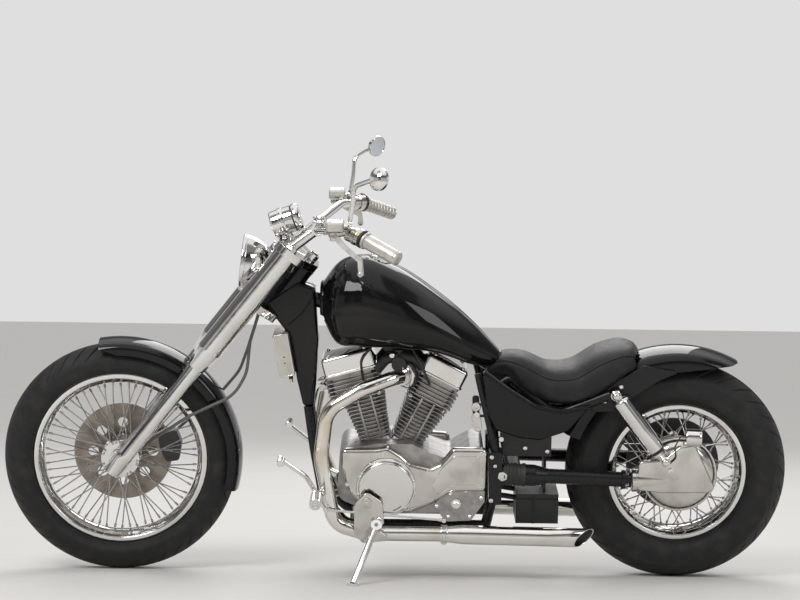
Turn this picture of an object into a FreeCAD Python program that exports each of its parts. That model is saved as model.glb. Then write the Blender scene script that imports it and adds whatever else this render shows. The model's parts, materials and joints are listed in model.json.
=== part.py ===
import FreeCAD, Part
import math
import os

# Cruiser motorcycle with a V-twin engine, standing on its side stand.
# Everything is drawn upright and steered straight ahead, in millimetres: +X rearward, -Y to the rider's
# left, +Z up, x = 0 midway between the axles and z = 0 the floor. The steered pieces are then turned to the
# angle they rest at, the whole machine leans on its stand, and the origin goes to the bottom centre of it.

V = FreeCAD.Vector
X, Y, Z = V(1, 0, 0), V(0, 1, 0), V(0, 0, 1)

# ---- driving dimensions ----------------------------------------------------------------------------
WHEELBASE = 1625.0
FRONT_TYRE_R = 340.0            # 19 inch tyre
REAR_TYRE_R = 322.0             # 15 inch tyre
FRONT_TYRE_HALF = 60.0          # half its width
REAR_TYRE_HALF = 84.0
REAR_CROWN_R = REAR_TYRE_HALF + 12.0    # radius of the rear tread across the tyre
FRONT_RIM_R = 254.0             # over the flange
REAR_RIM_R = 203.0
RAKE = 38.0                     # fork and steering axis, degrees from upright
FORK_OFFSET = 70.0              # steering axis behind the fork legs
LEG_HALF_SPACING = 100.0
LEG_R = 24.5
COVER_R = 36.5
LEAN = 10.0                     # on the side stand
STEER_REST = 1.5                # to the left, as it stands
CLEAR = 0.3                     # between curved pieces that touch in use

FRONT_AXLE = V(-WHEELBASE / 2, 0, FRONT_TYRE_R)
REAR_AXLE = V(WHEELBASE / 2, 0, REAR_TYRE_R)
CRANK = V(-34, 0, 294)          # crankshaft, middle of the engine
FRONT_CYLINDER_TILT = -15.5     # degrees from upright, forward
REAR_CYLINDER_TILT = 27.0

BODIES = {}                     # body name -> {node name: shape}


def add(body, node, shape):
    BODIES.setdefault(body, {})[node] = shape


# ---- ways of making a shape ------------------------------------------------------------------------

def outline(points, radius=0.0):
    """Closed wire through points in one plane, each corner rounded to its own or the common radius."""
    corners = [(p, radius) if isinstance(p, FreeCAD.Vector) else p for p in points]
    edges, ends = [], []
    count = len(corners)
    for i, (p, r) in enumerate(corners):
        before = corners[i - 1][0]
        after = corners[(i + 1) % count][0]
        ends.append(corner_arc(before, p, after, r))
    for i, (start, middle, end) in enumerate(ends):
        if middle is not None:
            edges.append(Part.Arc(start, middle, end).toShape())
        following = ends[(i + 1) % count][0]
        if end.distanceToPoint(following) > 1e-6:
            edges.append(Part.LineSegment(end, following).toShape())
    return Part.Wire(edges)


def corner_arc(before, p, after, radius):
    """Start, middle and end of the arc that rounds the corner p, or the bare point three times over."""
    into = (p - before).normalize()
    out = (after - p).normalize()
    turn = into.getAngle(out)
    if radius <= 0 or turn < 1e-4:
        return p, None, p
    reach = radius * math.tan(turn / 2)
    inward = (out - into).normalize()
    middle = p + inward * (radius / math.cos(turn / 2) - radius)
    return p - into * reach, middle, p + out * reach


def plate(points, y0, y1, radius=0.0):
    """Side-view outline of (x, z) or (x, z, corner radius), extruded from y0 to y1."""
    corners = []
    for item in points:
        corners.append((V(item[0], y0, item[1]), item[2] if len(item) > 2 else radius))
    return Part.Face(outline(corners)).extrude(V(0, y1 - y0, 0))


def route(points, bends):
    """Open wire of straight runs joined by tangent arcs; bends is one radius or one for each inner point."""
    radii = bends if isinstance(bends, (list, tuple)) else [bends] * (len(points) - 2)
    edges, last = [], points[0]
    for i, radius in enumerate(radii):
        start, middle, end = corner_arc(points[i], points[i + 1], points[i + 2], radius)
        if last.distanceToPoint(start) > 1e-6:
            edges.append(Part.LineSegment(last, start).toShape())
        if middle is not None:
            edges.append(Part.Arc(start, middle, end).toShape())
        last = end
    edges.append(Part.LineSegment(last, points[-1]).toShape())
    return Part.Wire(edges)


def tube(points, radius, bends=0.0):
    """Round bar along a route."""
    if len(points) == 2:
        return rod(points[0], points[1], radius)
    spine = route(points, bends)
    start = (points[1] - points[0]).normalize()
    ring = Part.Wire([Part.makeCircle(radius, points[0], start)])
    return spine.makePipeShell([ring], True, False)


def rod(a, b, radius):
    return Part.makeCylinder(radius, a.distanceToPoint(b), a, b - a)


def turned(points, base, axis, reference):
    """Solid of revolution about base + axis, from (along, radius) points or (middle, end) pairs for arcs."""
    side = reference.normalize()

    def place(pair):
        return base + axis * pair[0] + side * pair[1]

    edges, last = [], place(points[0])
    for item in points[1:] + [points[0]]:
        if isinstance(item[0], tuple):
            middle, end = place(item[0]), place(item[1])
            edges.append(Part.Arc(last, middle, end).toShape())
        else:
            end = place(item)
            edges.append(Part.LineSegment(last, end).toShape())
        last = end
    return Part.Face(Part.Wire(edges)).revolve(base, axis, 360)


def fused(shapes):
    body = shapes[0].multiFuse(shapes[1:]) if len(shapes) > 1 else shapes[0]
    return body.removeSplitter()


def longest(shape):
    """The main solid of a shape that a cut has parted."""
    return max(shape.Solids, key=lambda solid: solid.Volume)


def mirrored(shape):
    """The other side's copy."""
    return shape.mirror(V(0, 0, 0), Y)


def pair(shape):
    """Left and right copies, in one node."""
    return Part.makeCompound([shape, mirrored(shape)])


def loft(wires):
    return Part.makeLoft(wires, True, False)


# ---- wheels ----------------------------------------------------------------------------------------

WHEELS = (
    # body, axle, tyre radius, half width, crown radius, rim radius, rim half width, hub half width,
    # flange radius, barrel radius, spokes, bore radius
    ("front_wheel", FRONT_AXLE, FRONT_TYRE_R, FRONT_TYRE_HALF, FRONT_TYRE_HALF, FRONT_RIM_R, 34.0, 38.0,
     56.0, 26.0, 60, 11.0),
    ("rear_wheel", REAR_AXLE, REAR_TYRE_R, REAR_TYRE_HALF, REAR_CROWN_R, REAR_RIM_R, 54.0, 44.0,
     92.0, 60.0, 60, 14.0),
)
RIM_WALL = 4.0
FLANGE_LIP = 12.0               # flange edge outside the bead seat
WELL_DEPTH = 26.0               # flange edge to the middle of the well
SPOKE_R = 2.0
SPOKE_SIDES = 4
SHOULDER_DROP = 3.0             # how far the tread's edge lies inside the tyre's half width


def tyre(axle, radius, half, crown_r, rim_r, rim_half):
    """Crown arc, shoulders, sidewalls drawn in to the beads, and a hollow carcass open to the rim."""
    seat = rim_r - FLANGE_LIP + CLEAR
    wall = 9.0
    crown_angle = math.asin((half - SHOULDER_DROP) / crown_r)
    shoulder = (crown_r * math.sin(crown_angle), radius - crown_r + crown_r * math.cos(crown_angle))
    widest = radius - 0.62 * (radius - seat)
    bead = rim_half - RIM_WALL - CLEAR
    lip = rim_r + CLEAR
    foot = (rim_half + 2.0, lip + 1.0)
    out, up = half - foot[0], widest - foot[1]
    bend = (out * out + up * up) / (2 * out)
    low = 0.5 * math.atan2(-up, foot[0] - half + bend)
    bulge = (half - bend + bend * math.cos(low), widest + bend * math.sin(low))
    points = [(-bead, seat), (-bead, lip), (-foot[0], foot[1]), ((-bulge[0], bulge[1]), (-half, widest)),
              (-shoulder[0], shoulder[1]), ((0, radius), (shoulder[0], shoulder[1])), (half, widest),
              (bulge, foot), (bead, lip), (bead, seat)]
    inner = bead - wall
    crown_in = radius - 2.2 * wall
    points += [(inner, seat), (inner, lip + 6.0), (half - wall, widest), (0.6 * half, crown_in),
               (-0.6 * half, crown_in), (-half + wall, widest), (-inner, lip + 6.0), (-inner, seat)]
    return turned(points, axle, Y, V(0, 0, 1))


def inside(before, corner, after, wall):
    """Where two walls meet on their inner side: the corner moved inward by one wall thickness."""
    normals = []
    for (y0, r0), (y1, r1) in ((before, corner), (corner, after)):
        length = math.hypot(y1 - y0, r1 - r0)
        normals.append(((r1 - r0) / length, -(y1 - y0) / length))
    (a, b), (c, d) = normals
    share = wall / (1 + a * c + b * d)
    return corner[0] + share * (a + c), corner[1] + share * (b + d)


def rim(axle, rim_r, half):
    """Drop-centre rim: flanges, bead seats and well, one wall thick."""
    seat, well = rim_r - FLANGE_LIP, rim_r - WELL_DEPTH
    bead, step, floor = (half - RIM_WALL, seat), (0.55 * half, seat - 2), (0.32 * half, well)
    outer = [(half, rim_r), (half - RIM_WALL, rim_r), bead, step, floor]
    inner = [inside((0, well), floor, step, RIM_WALL), inside(floor, step, bead, RIM_WALL),
             (half - RIM_WALL, seat - RIM_WALL), (half, seat)]
    left = [(-y, r) for y, r in outer]
    lower_left = [(-y, r) for y, r in inner]
    points = left + outer[::-1] + inner[::-1] + lower_left
    return turned(points, axle, Y, V(0, 0, 1))


def spoke(start, end):
    """Straight spoke as a slim prism, which keeps its facets few."""
    along = (end - start).normalize()
    side = along.cross(Y).normalize()
    other = along.cross(side)
    corners = []
    for i in range(SPOKE_SIDES):
        a = 2 * math.pi * i / SPOKE_SIDES
        corners.append(start + side * (SPOKE_R * math.cos(a)) + other * (SPOKE_R * math.sin(a)))
    face = Part.Face(Part.makePolygon(corners + corners[:1]))
    return face.extrude(end - start)


def laced_hub(axle, rim_r, rim_half, half, flange_r, barrel_r, spokes, bore_r):
    """Turned hub with two flanges; spokes lie against both faces of each flange and cross on the way out."""
    flange_t = 6.0
    hub = turned(
        [(-half, bore_r + CLEAR), (-half, flange_r), (-half + flange_t, flange_r),
         (-half + flange_t + 6, barrel_r), (half - flange_t - 6, barrel_r), (half - flange_t, flange_r),
         (half, flange_r), (half, bore_r + CLEAR)], axle, Y, V(0, 0, 1))
    bars = [hub]
    per_side = spokes // 2
    reach = rim_r - WELL_DEPTH - RIM_WALL - 1.8
    for side in (-1, 1):
        for i in range(per_side):
            lean_way = 1 if i % 2 else -1
            face = half if i % 4 < 2 else half - flange_t
            at_hub = 2 * math.pi * (i + 0.5 * (side > 0)) / per_side
            at_rim = at_hub + lean_way * math.radians(24.0)
            y_hub = side * (face + (SPOKE_R - 0.6 if face == half else -SPOKE_R + 0.6))
            start = axle + V(math.sin(at_hub), 0, math.cos(at_hub)) * (flange_r - 6.0) + Y * y_hub
            end = axle + V(math.sin(at_rim), 0, math.cos(at_rim)) * reach + Y * (side * 0.18 * rim_half)
            bars.append(spoke(start, end))
    return bars[0].multiFuse(bars[1:])


for (body, axle, tyre_r, tyre_half, crown, rim_r, rim_half, hub_half, flange_r, barrel_r, spoke_count,
     bore) in WHEELS:
    add(body, body.replace("wheel", "tyre"), tyre(axle, tyre_r, tyre_half, crown, rim_r, rim_half))
    add(body, body.replace("wheel", "rim"), rim(axle, rim_r, rim_half))
    add(body, body.replace("wheel", "hub"),
        laced_hub(axle, rim_r, rim_half, hub_half, flange_r, barrel_r, spoke_count, bore))

DISC_T = 5.0
DISCS = (
    # body, node, axle, outer radius, inner radius, inner face y, holes, hole circle, hole radius
    ("front_wheel", "front_disc", FRONT_AXLE, 145.0, 26.0, 52.0, 8, 88.0, 15.0),
    ("rear_wheel", "rear_disc", REAR_AXLE, 137.0, 30.0, 62.0, 8, 84.0, 13.0),
)
for body, node, axle, outer_r, inner_r, y0, holes, circle_r, hole_r in DISCS:
    disc = Part.makeCylinder(outer_r, DISC_T, axle + Y * y0, Y)
    cuts = [Part.makeCylinder(inner_r, DISC_T, axle + Y * y0, Y)]
    for i in range(holes):
        a = 2 * math.pi * i / holes
        centre = axle + V(circle_r * math.sin(a), y0, circle_r * math.cos(a))
        cuts.append(Part.makeCylinder(hole_r, DISC_T, centre, Y))
    add(body, node, disc.cut(cuts))
# the carriers that hold each disc out from its hub flange
for body, axle, hub_half, y0 in (("front_wheel", FRONT_AXLE, 38.0, 52.0),
                                 ("rear_wheel", REAR_AXLE, 44.0, 62.0)):
    carrier = Part.makeCylinder(44.0, y0 - hub_half, axle + Y * hub_half, Y)
    carrier = carrier.cut(Part.makeCylinder(26.0, y0 - hub_half, axle + Y * hub_half, Y))
    hub = body.replace("wheel", "hub")
    BODIES[body][hub] = BODIES[body][hub].fuse(carrier)

# ---- fork ------------------------------------------------------------------------------------------

RAKE_SIN, RAKE_COS = math.sin(math.radians(RAKE)), math.cos(math.radians(RAKE))
UP_FORK = V(RAKE_SIN, 0, RAKE_COS)
BEHIND_FORK = V(RAKE_COS, 0, -RAKE_SIN)


def on_fork(along, side, behind=0.0):
    """A point by its distance up the fork from the axle, its y and its distance behind the legs."""
    return FRONT_AXLE + UP_FORK * along + Y * side + BEHIND_FORK * behind


LEG_END = -33.0
COVER_START, COVER_FULL, COVER_TOP = 366.0, 430.0, 784.0
CLAMP_T = 24.0
LOWER_CLAMP = 596.0             # its underside, along the fork
AXLE_R = 11.0
AXLE_BORE_R = 8.0
AXLE_BORE_DEPTH = 40.0

legs, covers = [], []
for side in (-1, 1):
    y = side * LEG_HALF_SPACING
    leg = turned([(LEG_END, 0), (LEG_END, LEG_R - 3), (LEG_END + 3, LEG_R), (COVER_START, LEG_R),
                  (COVER_START, 0)], on_fork(0, y), UP_FORK, Y)
    depth = LEG_R + 8 if side < 0 else 3 * LEG_R
    leg = leg.cut(Part.makeCylinder(AXLE_R + 0.05, depth, V(FRONT_AXLE.x, y - side * 1.5 * LEG_R,
                                                           FRONT_AXLE.z), Y * side))
    legs.append(leg)
    covers.append(turned([(COVER_START, 0), (COVER_START, LEG_R), (COVER_START, LEG_R + 2),
                          (COVER_FULL, COVER_R), (COVER_TOP, COVER_R), (COVER_TOP, 0)],
                         on_fork(0, y), UP_FORK, Y))
add("fork", "fork_legs", Part.makeCompound(legs))

STEM_R = 14.0
HEAD_BORE_R = 16.0
HEAD_R = 34.0
HEAD_BOTTOM, HEAD_TOP = LOWER_CLAMP + CLAMP_T + 1.0, COVER_TOP - 1.0


def clamp_plate(bottom, reach_r, thick):
    """Clamp seen along the fork: rounded ends round the legs and a boss behind on the steering axis."""
    corners = [(on_fork(bottom, -LEG_HALF_SPACING - reach_r, -reach_r), reach_r * 0.9),
               (on_fork(bottom, LEG_HALF_SPACING + reach_r, -reach_r), reach_r * 0.9),
               (on_fork(bottom, LEG_HALF_SPACING + reach_r, reach_r * 0.9), reach_r * 0.8),
               (on_fork(bottom, 45, FORK_OFFSET + 30), 24.0),
               (on_fork(bottom, -45, FORK_OFFSET + 30), 24.0),
               (on_fork(bottom, -LEG_HALF_SPACING - reach_r, reach_r * 0.9), reach_r * 0.8)]
    return Part.Face(outline(corners)).extrude(UP_FORK * thick)


upper = clamp_plate(COVER_TOP, COVER_R + 5, CLAMP_T)
lower = clamp_plate(LOWER_CLAMP, 4.0, CLAMP_T)
for side in (-1, 1):
    lower = lower.cut(rod(on_fork(LOWER_CLAMP - 1, side * LEG_HALF_SPACING),
                          on_fork(LOWER_CLAMP + CLAMP_T + 1, side * LEG_HALF_SPACING), COVER_R + CLEAR))
stem = rod(on_fork(LOWER_CLAMP, 0, FORK_OFFSET), on_fork(COVER_TOP, 0, FORK_OFFSET), STEM_R)
nut_low = COVER_TOP + CLAMP_T
nut = rod(on_fork(nut_low, 0, FORK_OFFSET), on_fork(nut_low + 16, 0, FORK_OFFSET), 19)
add("fork", "triple_clamps", fused([upper, stem, lower, nut]))
add("fork", "fork_covers", Part.makeCompound(covers))

axle_left = -LEG_HALF_SPACING + LEG_R * 0.6
axle_right = LEG_HALF_SPACING + LEG_R + 6
axle = rod(V(FRONT_AXLE.x, axle_left, FRONT_AXLE.z), V(FRONT_AXLE.x, axle_right, FRONT_AXLE.z), AXLE_R)
head = rod(V(FRONT_AXLE.x, axle_right, FRONT_AXLE.z), V(FRONT_AXLE.x, axle_right + 8, FRONT_AXLE.z), 15)
bore = rod(V(FRONT_AXLE.x, axle_right + 8 - AXLE_BORE_DEPTH, FRONT_AXLE.z),
           V(FRONT_AXLE.x, axle_right + 9, FRONT_AXLE.z), AXLE_BORE_R)
drum_r, drum_in = 30.0, -44.0
drum_out = -LEG_HALF_SPACING + LEG_R + 2
drum = rod(V(FRONT_AXLE.x, drum_in, FRONT_AXLE.z), V(FRONT_AXLE.x, drum_out, FRONT_AXLE.z), drum_r)
axle_set = fused([axle, head, drum.cut(Part.makeCompound(legs))]).cut(bore)
add("fork", "front_axle", axle_set)

# headlight: chrome shell behind a flat lens, held by a bar from the upper clamp
LAMP_R = 82.0
LAMP_FRONT = V(-461, 0, 920)
LAMP_AIM = V(-0.995, 0, 0.10).normalize()
lamp_depth, lamp_rim = 105.0, 14.0
shell = turned([(0, 0), (0, LAMP_R - 6), (-4, LAMP_R), (-lamp_rim, LAMP_R),
                ((-0.45 * lamp_depth, LAMP_R * 0.86), (-0.8 * lamp_depth, LAMP_R * 0.52)),
                ((-0.95 * lamp_depth, LAMP_R * 0.30), (-lamp_depth, 0))], LAMP_FRONT, LAMP_AIM, Y)
lamp_back = LAMP_FRONT - LAMP_AIM * (lamp_depth - 6)
lamp_seat = on_fork(COVER_TOP - 14, 0, -COVER_R - 5)
stay = rod(lamp_seat + UP_FORK * 14, lamp_back, 9.0).cut(upper)
add("fork", "headlight", shell.fuse(stay))

# speedometer can over the upper clamp, on its bracket
METER_R, METER_LENGTH = 40.0, 92.0
METER_FRONT, METER_BACK = V(-374, 0, 1027), V(-292, 0, 1056)
meter_aim = (METER_BACK - METER_FRONT).normalize()
can = turned([(0, 0), (0, METER_R - 10), (8, METER_R - 1), (METER_LENGTH - 22, METER_R - 1),
              (METER_LENGTH - 21, METER_R), (METER_LENGTH - 5, METER_R), (METER_LENGTH, METER_R - 5),
              (METER_LENGTH - 3, METER_R - 6), (METER_LENGTH - 3, 0)], METER_FRONT, meter_aim, Y)
post_top = METER_FRONT + meter_aim * 42
post_foot = on_fork(COVER_TOP + CLAMP_T, 0, 0)
post = rod(post_foot, post_top, 12.0).cut(upper)
add("fork", "speedometer", can.fuse(post).cut(BODIES["fork"]["triple_clamps"]))

# handlebar: two risers from the upper clamp, and a bar that pulls back to the grips
BAR_R = 12.7
RISER_HALF = 46.0
GRIP_R = 20.5
GRIP_GAP = 0.3
BAR_HALF_PATH = (V(-238, 0, 1028), V(-238, -95, 1028), V(-176, -255, 1056), V(-112, -338, 1046),
                 V(-22, -405, 1006))
BAR_BENDS = (60.0, 90.0, 70.0)
right_path = [V(p.x, -p.y, p.z) for p in BAR_HALF_PATH]
bar = tube(list(BAR_HALF_PATH[:0:-1]) + right_path[1:], BAR_R, list(BAR_BENDS[::-1]) + list(BAR_BENDS))
risers = []
for side in (-1, 1):
    foot = on_fork(COVER_TOP + CLAMP_T, side * RISER_HALF, 6)
    top = V(BAR_HALF_PATH[0].x, side * RISER_HALF, BAR_HALF_PATH[0].z)
    risers.append(rod(foot, top, 16.0))
    risers.append(rod(top - Y * 15, top + Y * 15, BAR_R + 8))
add("fork", "handlebar", fused([bar] + risers).cut(upper).cut(nut))

grip_end, grip_in = BAR_HALF_PATH[4], BAR_HALF_PATH[3]
grip_way = (grip_end - grip_in).normalize()
GRIP_LENGTH = 118.0
grip_start = grip_end - grip_way * (GRIP_LENGTH - 8)
grip = rod(grip_start, grip_end + grip_way * 8, GRIP_R)
grip = grip.fuse(rod(grip_start, grip_start + grip_way * 6, GRIP_R + 4))
grip = grip.cut(rod(grip_start - grip_way, grip_end, BAR_R + GRIP_GAP))
add("fork", "grips", pair(grip))


def blade_solid(points, thick):
    """Flat forged blade: a side outline flattened into one plane and given its thickness both ways."""
    way = V(thick).normalize()
    flat = [p - way * way.dot(p - points[0]) for p in points]
    face = Part.Face(Part.makePolygon([p - thick * 0.5 for p in flat + flat[:1]]))
    return face.extrude(thick)


def hand_controls():
    """Switch housing, lever bracket with its fluid reservoir, and the lever itself, for the left side."""
    near = grip_start - grip_way * 3
    bend = BAR_HALF_PATH[3]
    inner_way = (bend - BAR_HALF_PATH[2]).normalize()
    house = rod(bend - grip_way * 14, near, 24.0)
    house = house.fuse(rod(bend - inner_way * 30, bend - inner_way * 2, 24.0))
    house = house.cut(rod(near, near + grip_way * 40, 60.0))
    bracket_at = near - grip_way * 56
    bracket = rod(bend - inner_way * 58, bend - inner_way * 28, 21.0)
    ahead = V(-0.80, -0.25, -0.10).normalize()
    master = rod(bracket_at - grip_way * 6, bracket_at + ahead * 52 - grip_way * 6, 15.0)
    pot_at = bracket_at + ahead * 40 + V(0, 6, 4)
    pot = Part.makeBox(50, 62, 30, pot_at - V(25, 31, 0))
    pot = pot.makeChamfer(5.0, pot.Edges)
    pivot = bracket_at + ahead * 44
    blade = [pivot + V(dx, dy, dz) for dx, dy, dz in
             ((-8, 6, 6), (8, 8, 0), (40, -36, -30), (84, -84, -60), (90, -108, -98), (76, -108, -98),
              (70, -92, -66), (26, -44, -36), (-6, -10, -8))]
    flat_way = V(-0.45, -0.72, 0.55).normalize()
    lever = blade_solid(blade, flat_way * 9)
    lever = lever.fuse(rod(pivot - Z * 20, pivot + Z * 8, 10.0))
    tip_at = pivot + V(82, -108, -100)
    tip_at = tip_at - flat_way * flat_way.dot(tip_at - blade[0])
    tip = Part.makeSphere(9.0, tip_at)
    body = fused([house, bracket, master, pot, lever, tip])
    return body.cut(tube([V(p.x, p.y, p.z) for p in BAR_HALF_PATH[::-1]], BAR_R + GRIP_GAP,
                         list(BAR_BENDS[::-1])))


left_hand = hand_controls()
add("fork", "hand_controls", pair(left_hand))

# mirrors: bent stem from the lever bracket, round-cornered head
MIRROR_FOOT = V(-150, -306, 1074)
MIRROR_R = 32.0
mirror_head = V(-66, -366, 1214)
mirror_way = V(0.66, 0.70, -0.20).normalize()
stem_points = [MIRROR_FOOT, MIRROR_FOOT + V(10, -6, 60), V(-136, -322, 1188), mirror_head - mirror_way * 18]
mirror_stem = tube(stem_points, 6.5, [60.0, 30.0])
cap_deep = 16.0
cap_r = (MIRROR_R ** 2 + cap_deep ** 2) / (2 * cap_deep)
half_turn = 0.5 * math.asin(MIRROR_R / cap_r)
cap_middle = (10 + cap_deep - cap_r * (1 - math.cos(half_turn)), cap_r * math.sin(half_turn))
mirror_cup = turned([(0, 0), (0, MIRROR_R - 2), (4, MIRROR_R), (10, MIRROR_R),
                     (cap_middle, (10 + cap_deep, 0))], mirror_head, mirror_way * -1, mirror_way.cross(Z))
mirror = fused([mirror_stem, mirror_cup])
mirror = longest(mirror.cut(left_hand).cut(grip).cut(BODIES["fork"]["handlebar"]))
add("fork", "mirrors", pair(mirror))

# front fender: crown and skirts swept round the wheel, cut to a point in front
FENDER_R = 356.0
FENDER_HALF = 70.0
FENDER_WALL = 2.5
FRONT_FENDER_FROM, FRONT_FENDER_TO = -9.5, 105.0     # degrees from upright, rearward


def fender(centre, crown_r, half, skirt, shoulder, start, end, wall):
    """Arched section revolved about the wheel's axle between two angles from upright."""
    base = crown_r - skirt
    rise = 0.10 * half

    def section(y, radius, top):
        points = [(-y, base), (-y, top - shoulder),
                  ((-y * 0.90, top - 0.35 * shoulder), (-y * 0.72, top)),
                  ((0, top + rise), (y * 0.72, top)),
                  ((y * 0.90, top - 0.35 * shoulder), (y, top - shoulder)), (y, base)]
        return points

    outer = section(half, crown_r, crown_r - rise)
    inner = section(half - wall, crown_r, crown_r - rise - wall)
    edges, last = [], None

    def place(p):
        return centre + V(0, p[0], p[1])

    def run(points, last):
        for item in points:
            if isinstance(item[0], tuple):
                edges.append(Part.Arc(last, place(item[0]), place(item[1])).toShape())
                last = place(item[1])
            else:
                if last is not None:
                    edges.append(Part.LineSegment(last, place(item)).toShape())
                last = place(item)
        return last

    last = run(outer, None)
    back = [inner[-1]]
    for i in range(len(inner) - 1, 0, -1):
        item = inner[i]
        before = inner[i - 1]
        target = before[1] if isinstance(before[0], tuple) else before
        back.append((item[0], target) if isinstance(item[0], tuple) else target)
    last = run(back, last)
    edges.append(Part.LineSegment(last, place(outer[0])).toShape())
    face = Part.Face(Part.Wire(edges))
    face.rotate(centre, Y, start)
    return face.revolve(centre, Y, end - start)


front_fender = fender(FRONT_AXLE, FENDER_R, FENDER_HALF, 40.0, 16.0, FRONT_FENDER_FROM, FRONT_FENDER_TO,
                      FENDER_WALL)
nose = plate([(-990, 680), (-866, 672), (-760, 640), (-660, 600), (-640, 500), (-990, 500)], -200, 200)
front_fender = front_fender.cut(nose)
stays = []
for side in (-1, 1):
    for along in (300.0, 330.0):
        inside = side * (FENDER_HALF - FENDER_WALL / 2)
        outside = side * (LEG_HALF_SPACING - LEG_R - CLEAR)
        stays.append(rod(on_fork(along, inside, 0), on_fork(along, outside, 0),
                         7.0))
front_fender = front_fender.multiFuse(stays)
add("fork", "front_fender", front_fender)

# front caliper behind the right leg, over the disc
caliper_at = on_fork(104, 0, 96)
caliper = plate([(caliper_at.x - 40, caliper_at.z + 48), (caliper_at.x + 18, caliper_at.z + 44),
                 (caliper_at.x + 34, caliper_at.z + 6), (caliper_at.x + 26, caliper_at.z - 46),
                 (caliper_at.x - 12, caliper_at.z - 52), (caliper_at.x - 30, caliper_at.z - 12)], 38, 76,
                10.0)
gap = Part.makeCylinder(150, DISC_T + 3, FRONT_AXLE + Y * 50.5, Y)
hanger = plate([(caliper_at.x - 36, caliper_at.z + 40), (caliper_at.x + 10, caliper_at.z + 30),
                (caliper_at.x + 10, caliper_at.z - 4), (caliper_at.x - 70, caliper_at.z - 30),
                (caliper_at.x - 92, caliper_at.z + 10)], 70, 88, 4.0)
caliper = fused([caliper, hanger]).cut(gap)
caliper = caliper.cut(BODIES["fork"]["fork_legs"])
add("fork", "front_caliper", longest(caliper))

# hoses held along the fork: brake hose to the caliper, speedometer cable to the hub
HOSE_R = 4.5
hose_points = [V(-404, 40, 792), V(-424, 44, 722), V(-446, 60, 650), V(-470, 84, 580), V(-520, 88, 520),
               V(-580, 88, 470), V(-652, 76, 404)]
hose = tube(hose_points, HOSE_R, [40.0, 120.0, 110.0, 110.0, 150.0])
cable_points = [V(-404, -50, 792), V(-432, -70, 700), V(-441, -84, 610), V(-478, -96, 545),
                V(-545, -98, 515), V(-610, -92, 482), V(-700, -84, 420), V(-768, -62, 366)]
cable = tube(cable_points, HOSE_R, [60.0, 110.0, 110.0, 110.0, 150.0, 200.0])
for piece in ("triple_clamps", "fork_covers", "fork_legs", "front_fender", "front_caliper", "front_axle"):
    hose = longest(hose.cut(BODIES["fork"][piece]))
    cable = longest(cable.cut(BODIES["fork"][piece]))
add("fork", "fork_hoses", Part.makeCompound([hose, cable]))

# ---- main frame ------------------------------------------------------------------------------------

head_low = on_fork(HEAD_BOTTOM, 0, FORK_OFFSET)
head_high = on_fork(HEAD_TOP, 0, FORK_OFFSET)
TUBE_R = 15.0
BACKBONE_R = 22.0
NECK_HALF = 36.0
head_tube = rod(head_low, head_high, HEAD_R)
BACKBONE = (on_fork(0.6 * HEAD_BOTTOM + 0.4 * HEAD_TOP, 0, FORK_OFFSET), V(110, 0, 718), V(306, 0, 604))
backbone = tube(list(BACKBONE), BACKBONE_R, 120.0)
neck = plate([(-396, 806), (-300, 872), (-244, 856), (-234, 700), (-240, 578), (-246, 500), (-280, 500),
              (-298, 578), (-320, 708)], -NECK_HALF, NECK_HALF, 5.0)
TANK_TUNNEL = BACKBONE_R + 12   # half width of the channel under the tank
saddles = [rod(V(x, -TANK_TUNNEL + CLEAR, z), V(x, TANK_TUNNEL - CLEAR, z), 11.0)
           for x, z in ((-150, 786), (180, 678))]
main_frame = fused([head_tube, backbone, neck] + saddles)
main_frame = main_frame.cut(rod(head_low - UP_FORK * 40, head_high + UP_FORK * 40, HEAD_BORE_R))
main_frame = main_frame.cut(rod(head_low - UP_FORK * 80, head_low, HEAD_R + 30))
main_frame = main_frame.cut(rod(head_high, head_high + UP_FORK * 60, HEAD_R + 30))
add("frame", "main_frame", main_frame)

RAIL_Y = 86.0
RAIL_Z = 166.0
POST_X = 276.0
cradle_tubes = []
for side in (-1, 1):
    y = side * RAIL_Y
    cradle_tubes.append(tube([V(-263, side * (NECK_HALF - TUBE_R), 501), V(-244, side * 46, 380),
                              V(-214, y, 240), V(-150, y, RAIL_Z), V(POST_X - 20, y, RAIL_Z)],
                             TUBE_R, [120.0, 60.0, 46.0]))
cradle = fused(cradle_tubes + [rod(V(-130, -RAIL_Y, RAIL_Z), V(-130, RAIL_Y, RAIL_Z), 10.0),
                               rod(V(200, -RAIL_Y, RAIL_Z), V(200, RAIL_Y, RAIL_Z), 10.0)])
cradle = cradle.cut(main_frame)
add("frame", "cradle", cradle)

SEAT_RAIL_Y = 58.0
PIVOT = V(300, 0, 330)          # swingarm pivot
PIVOT_R = 12.0


def rear_rails(radius):
    """Both rear loops: up behind the engine, back under the seat and up to the fender struts."""
    loops = []
    for side in (-1, 1):
        y = side * RAIL_Y
        loops.append(tube([V(POST_X - 20, y, RAIL_Z), V(POST_X + 10, y, 300),
                           V(POST_X - 12, side * SEAT_RAIL_Y, 560), V(320, side * SEAT_RAIL_Y, 600),
                           V(450, side * 104, 500), V(606, side * 118, 566)], radius,
                          [50.0, 60.0, 20.0, 60.0]))
    return loops


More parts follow.
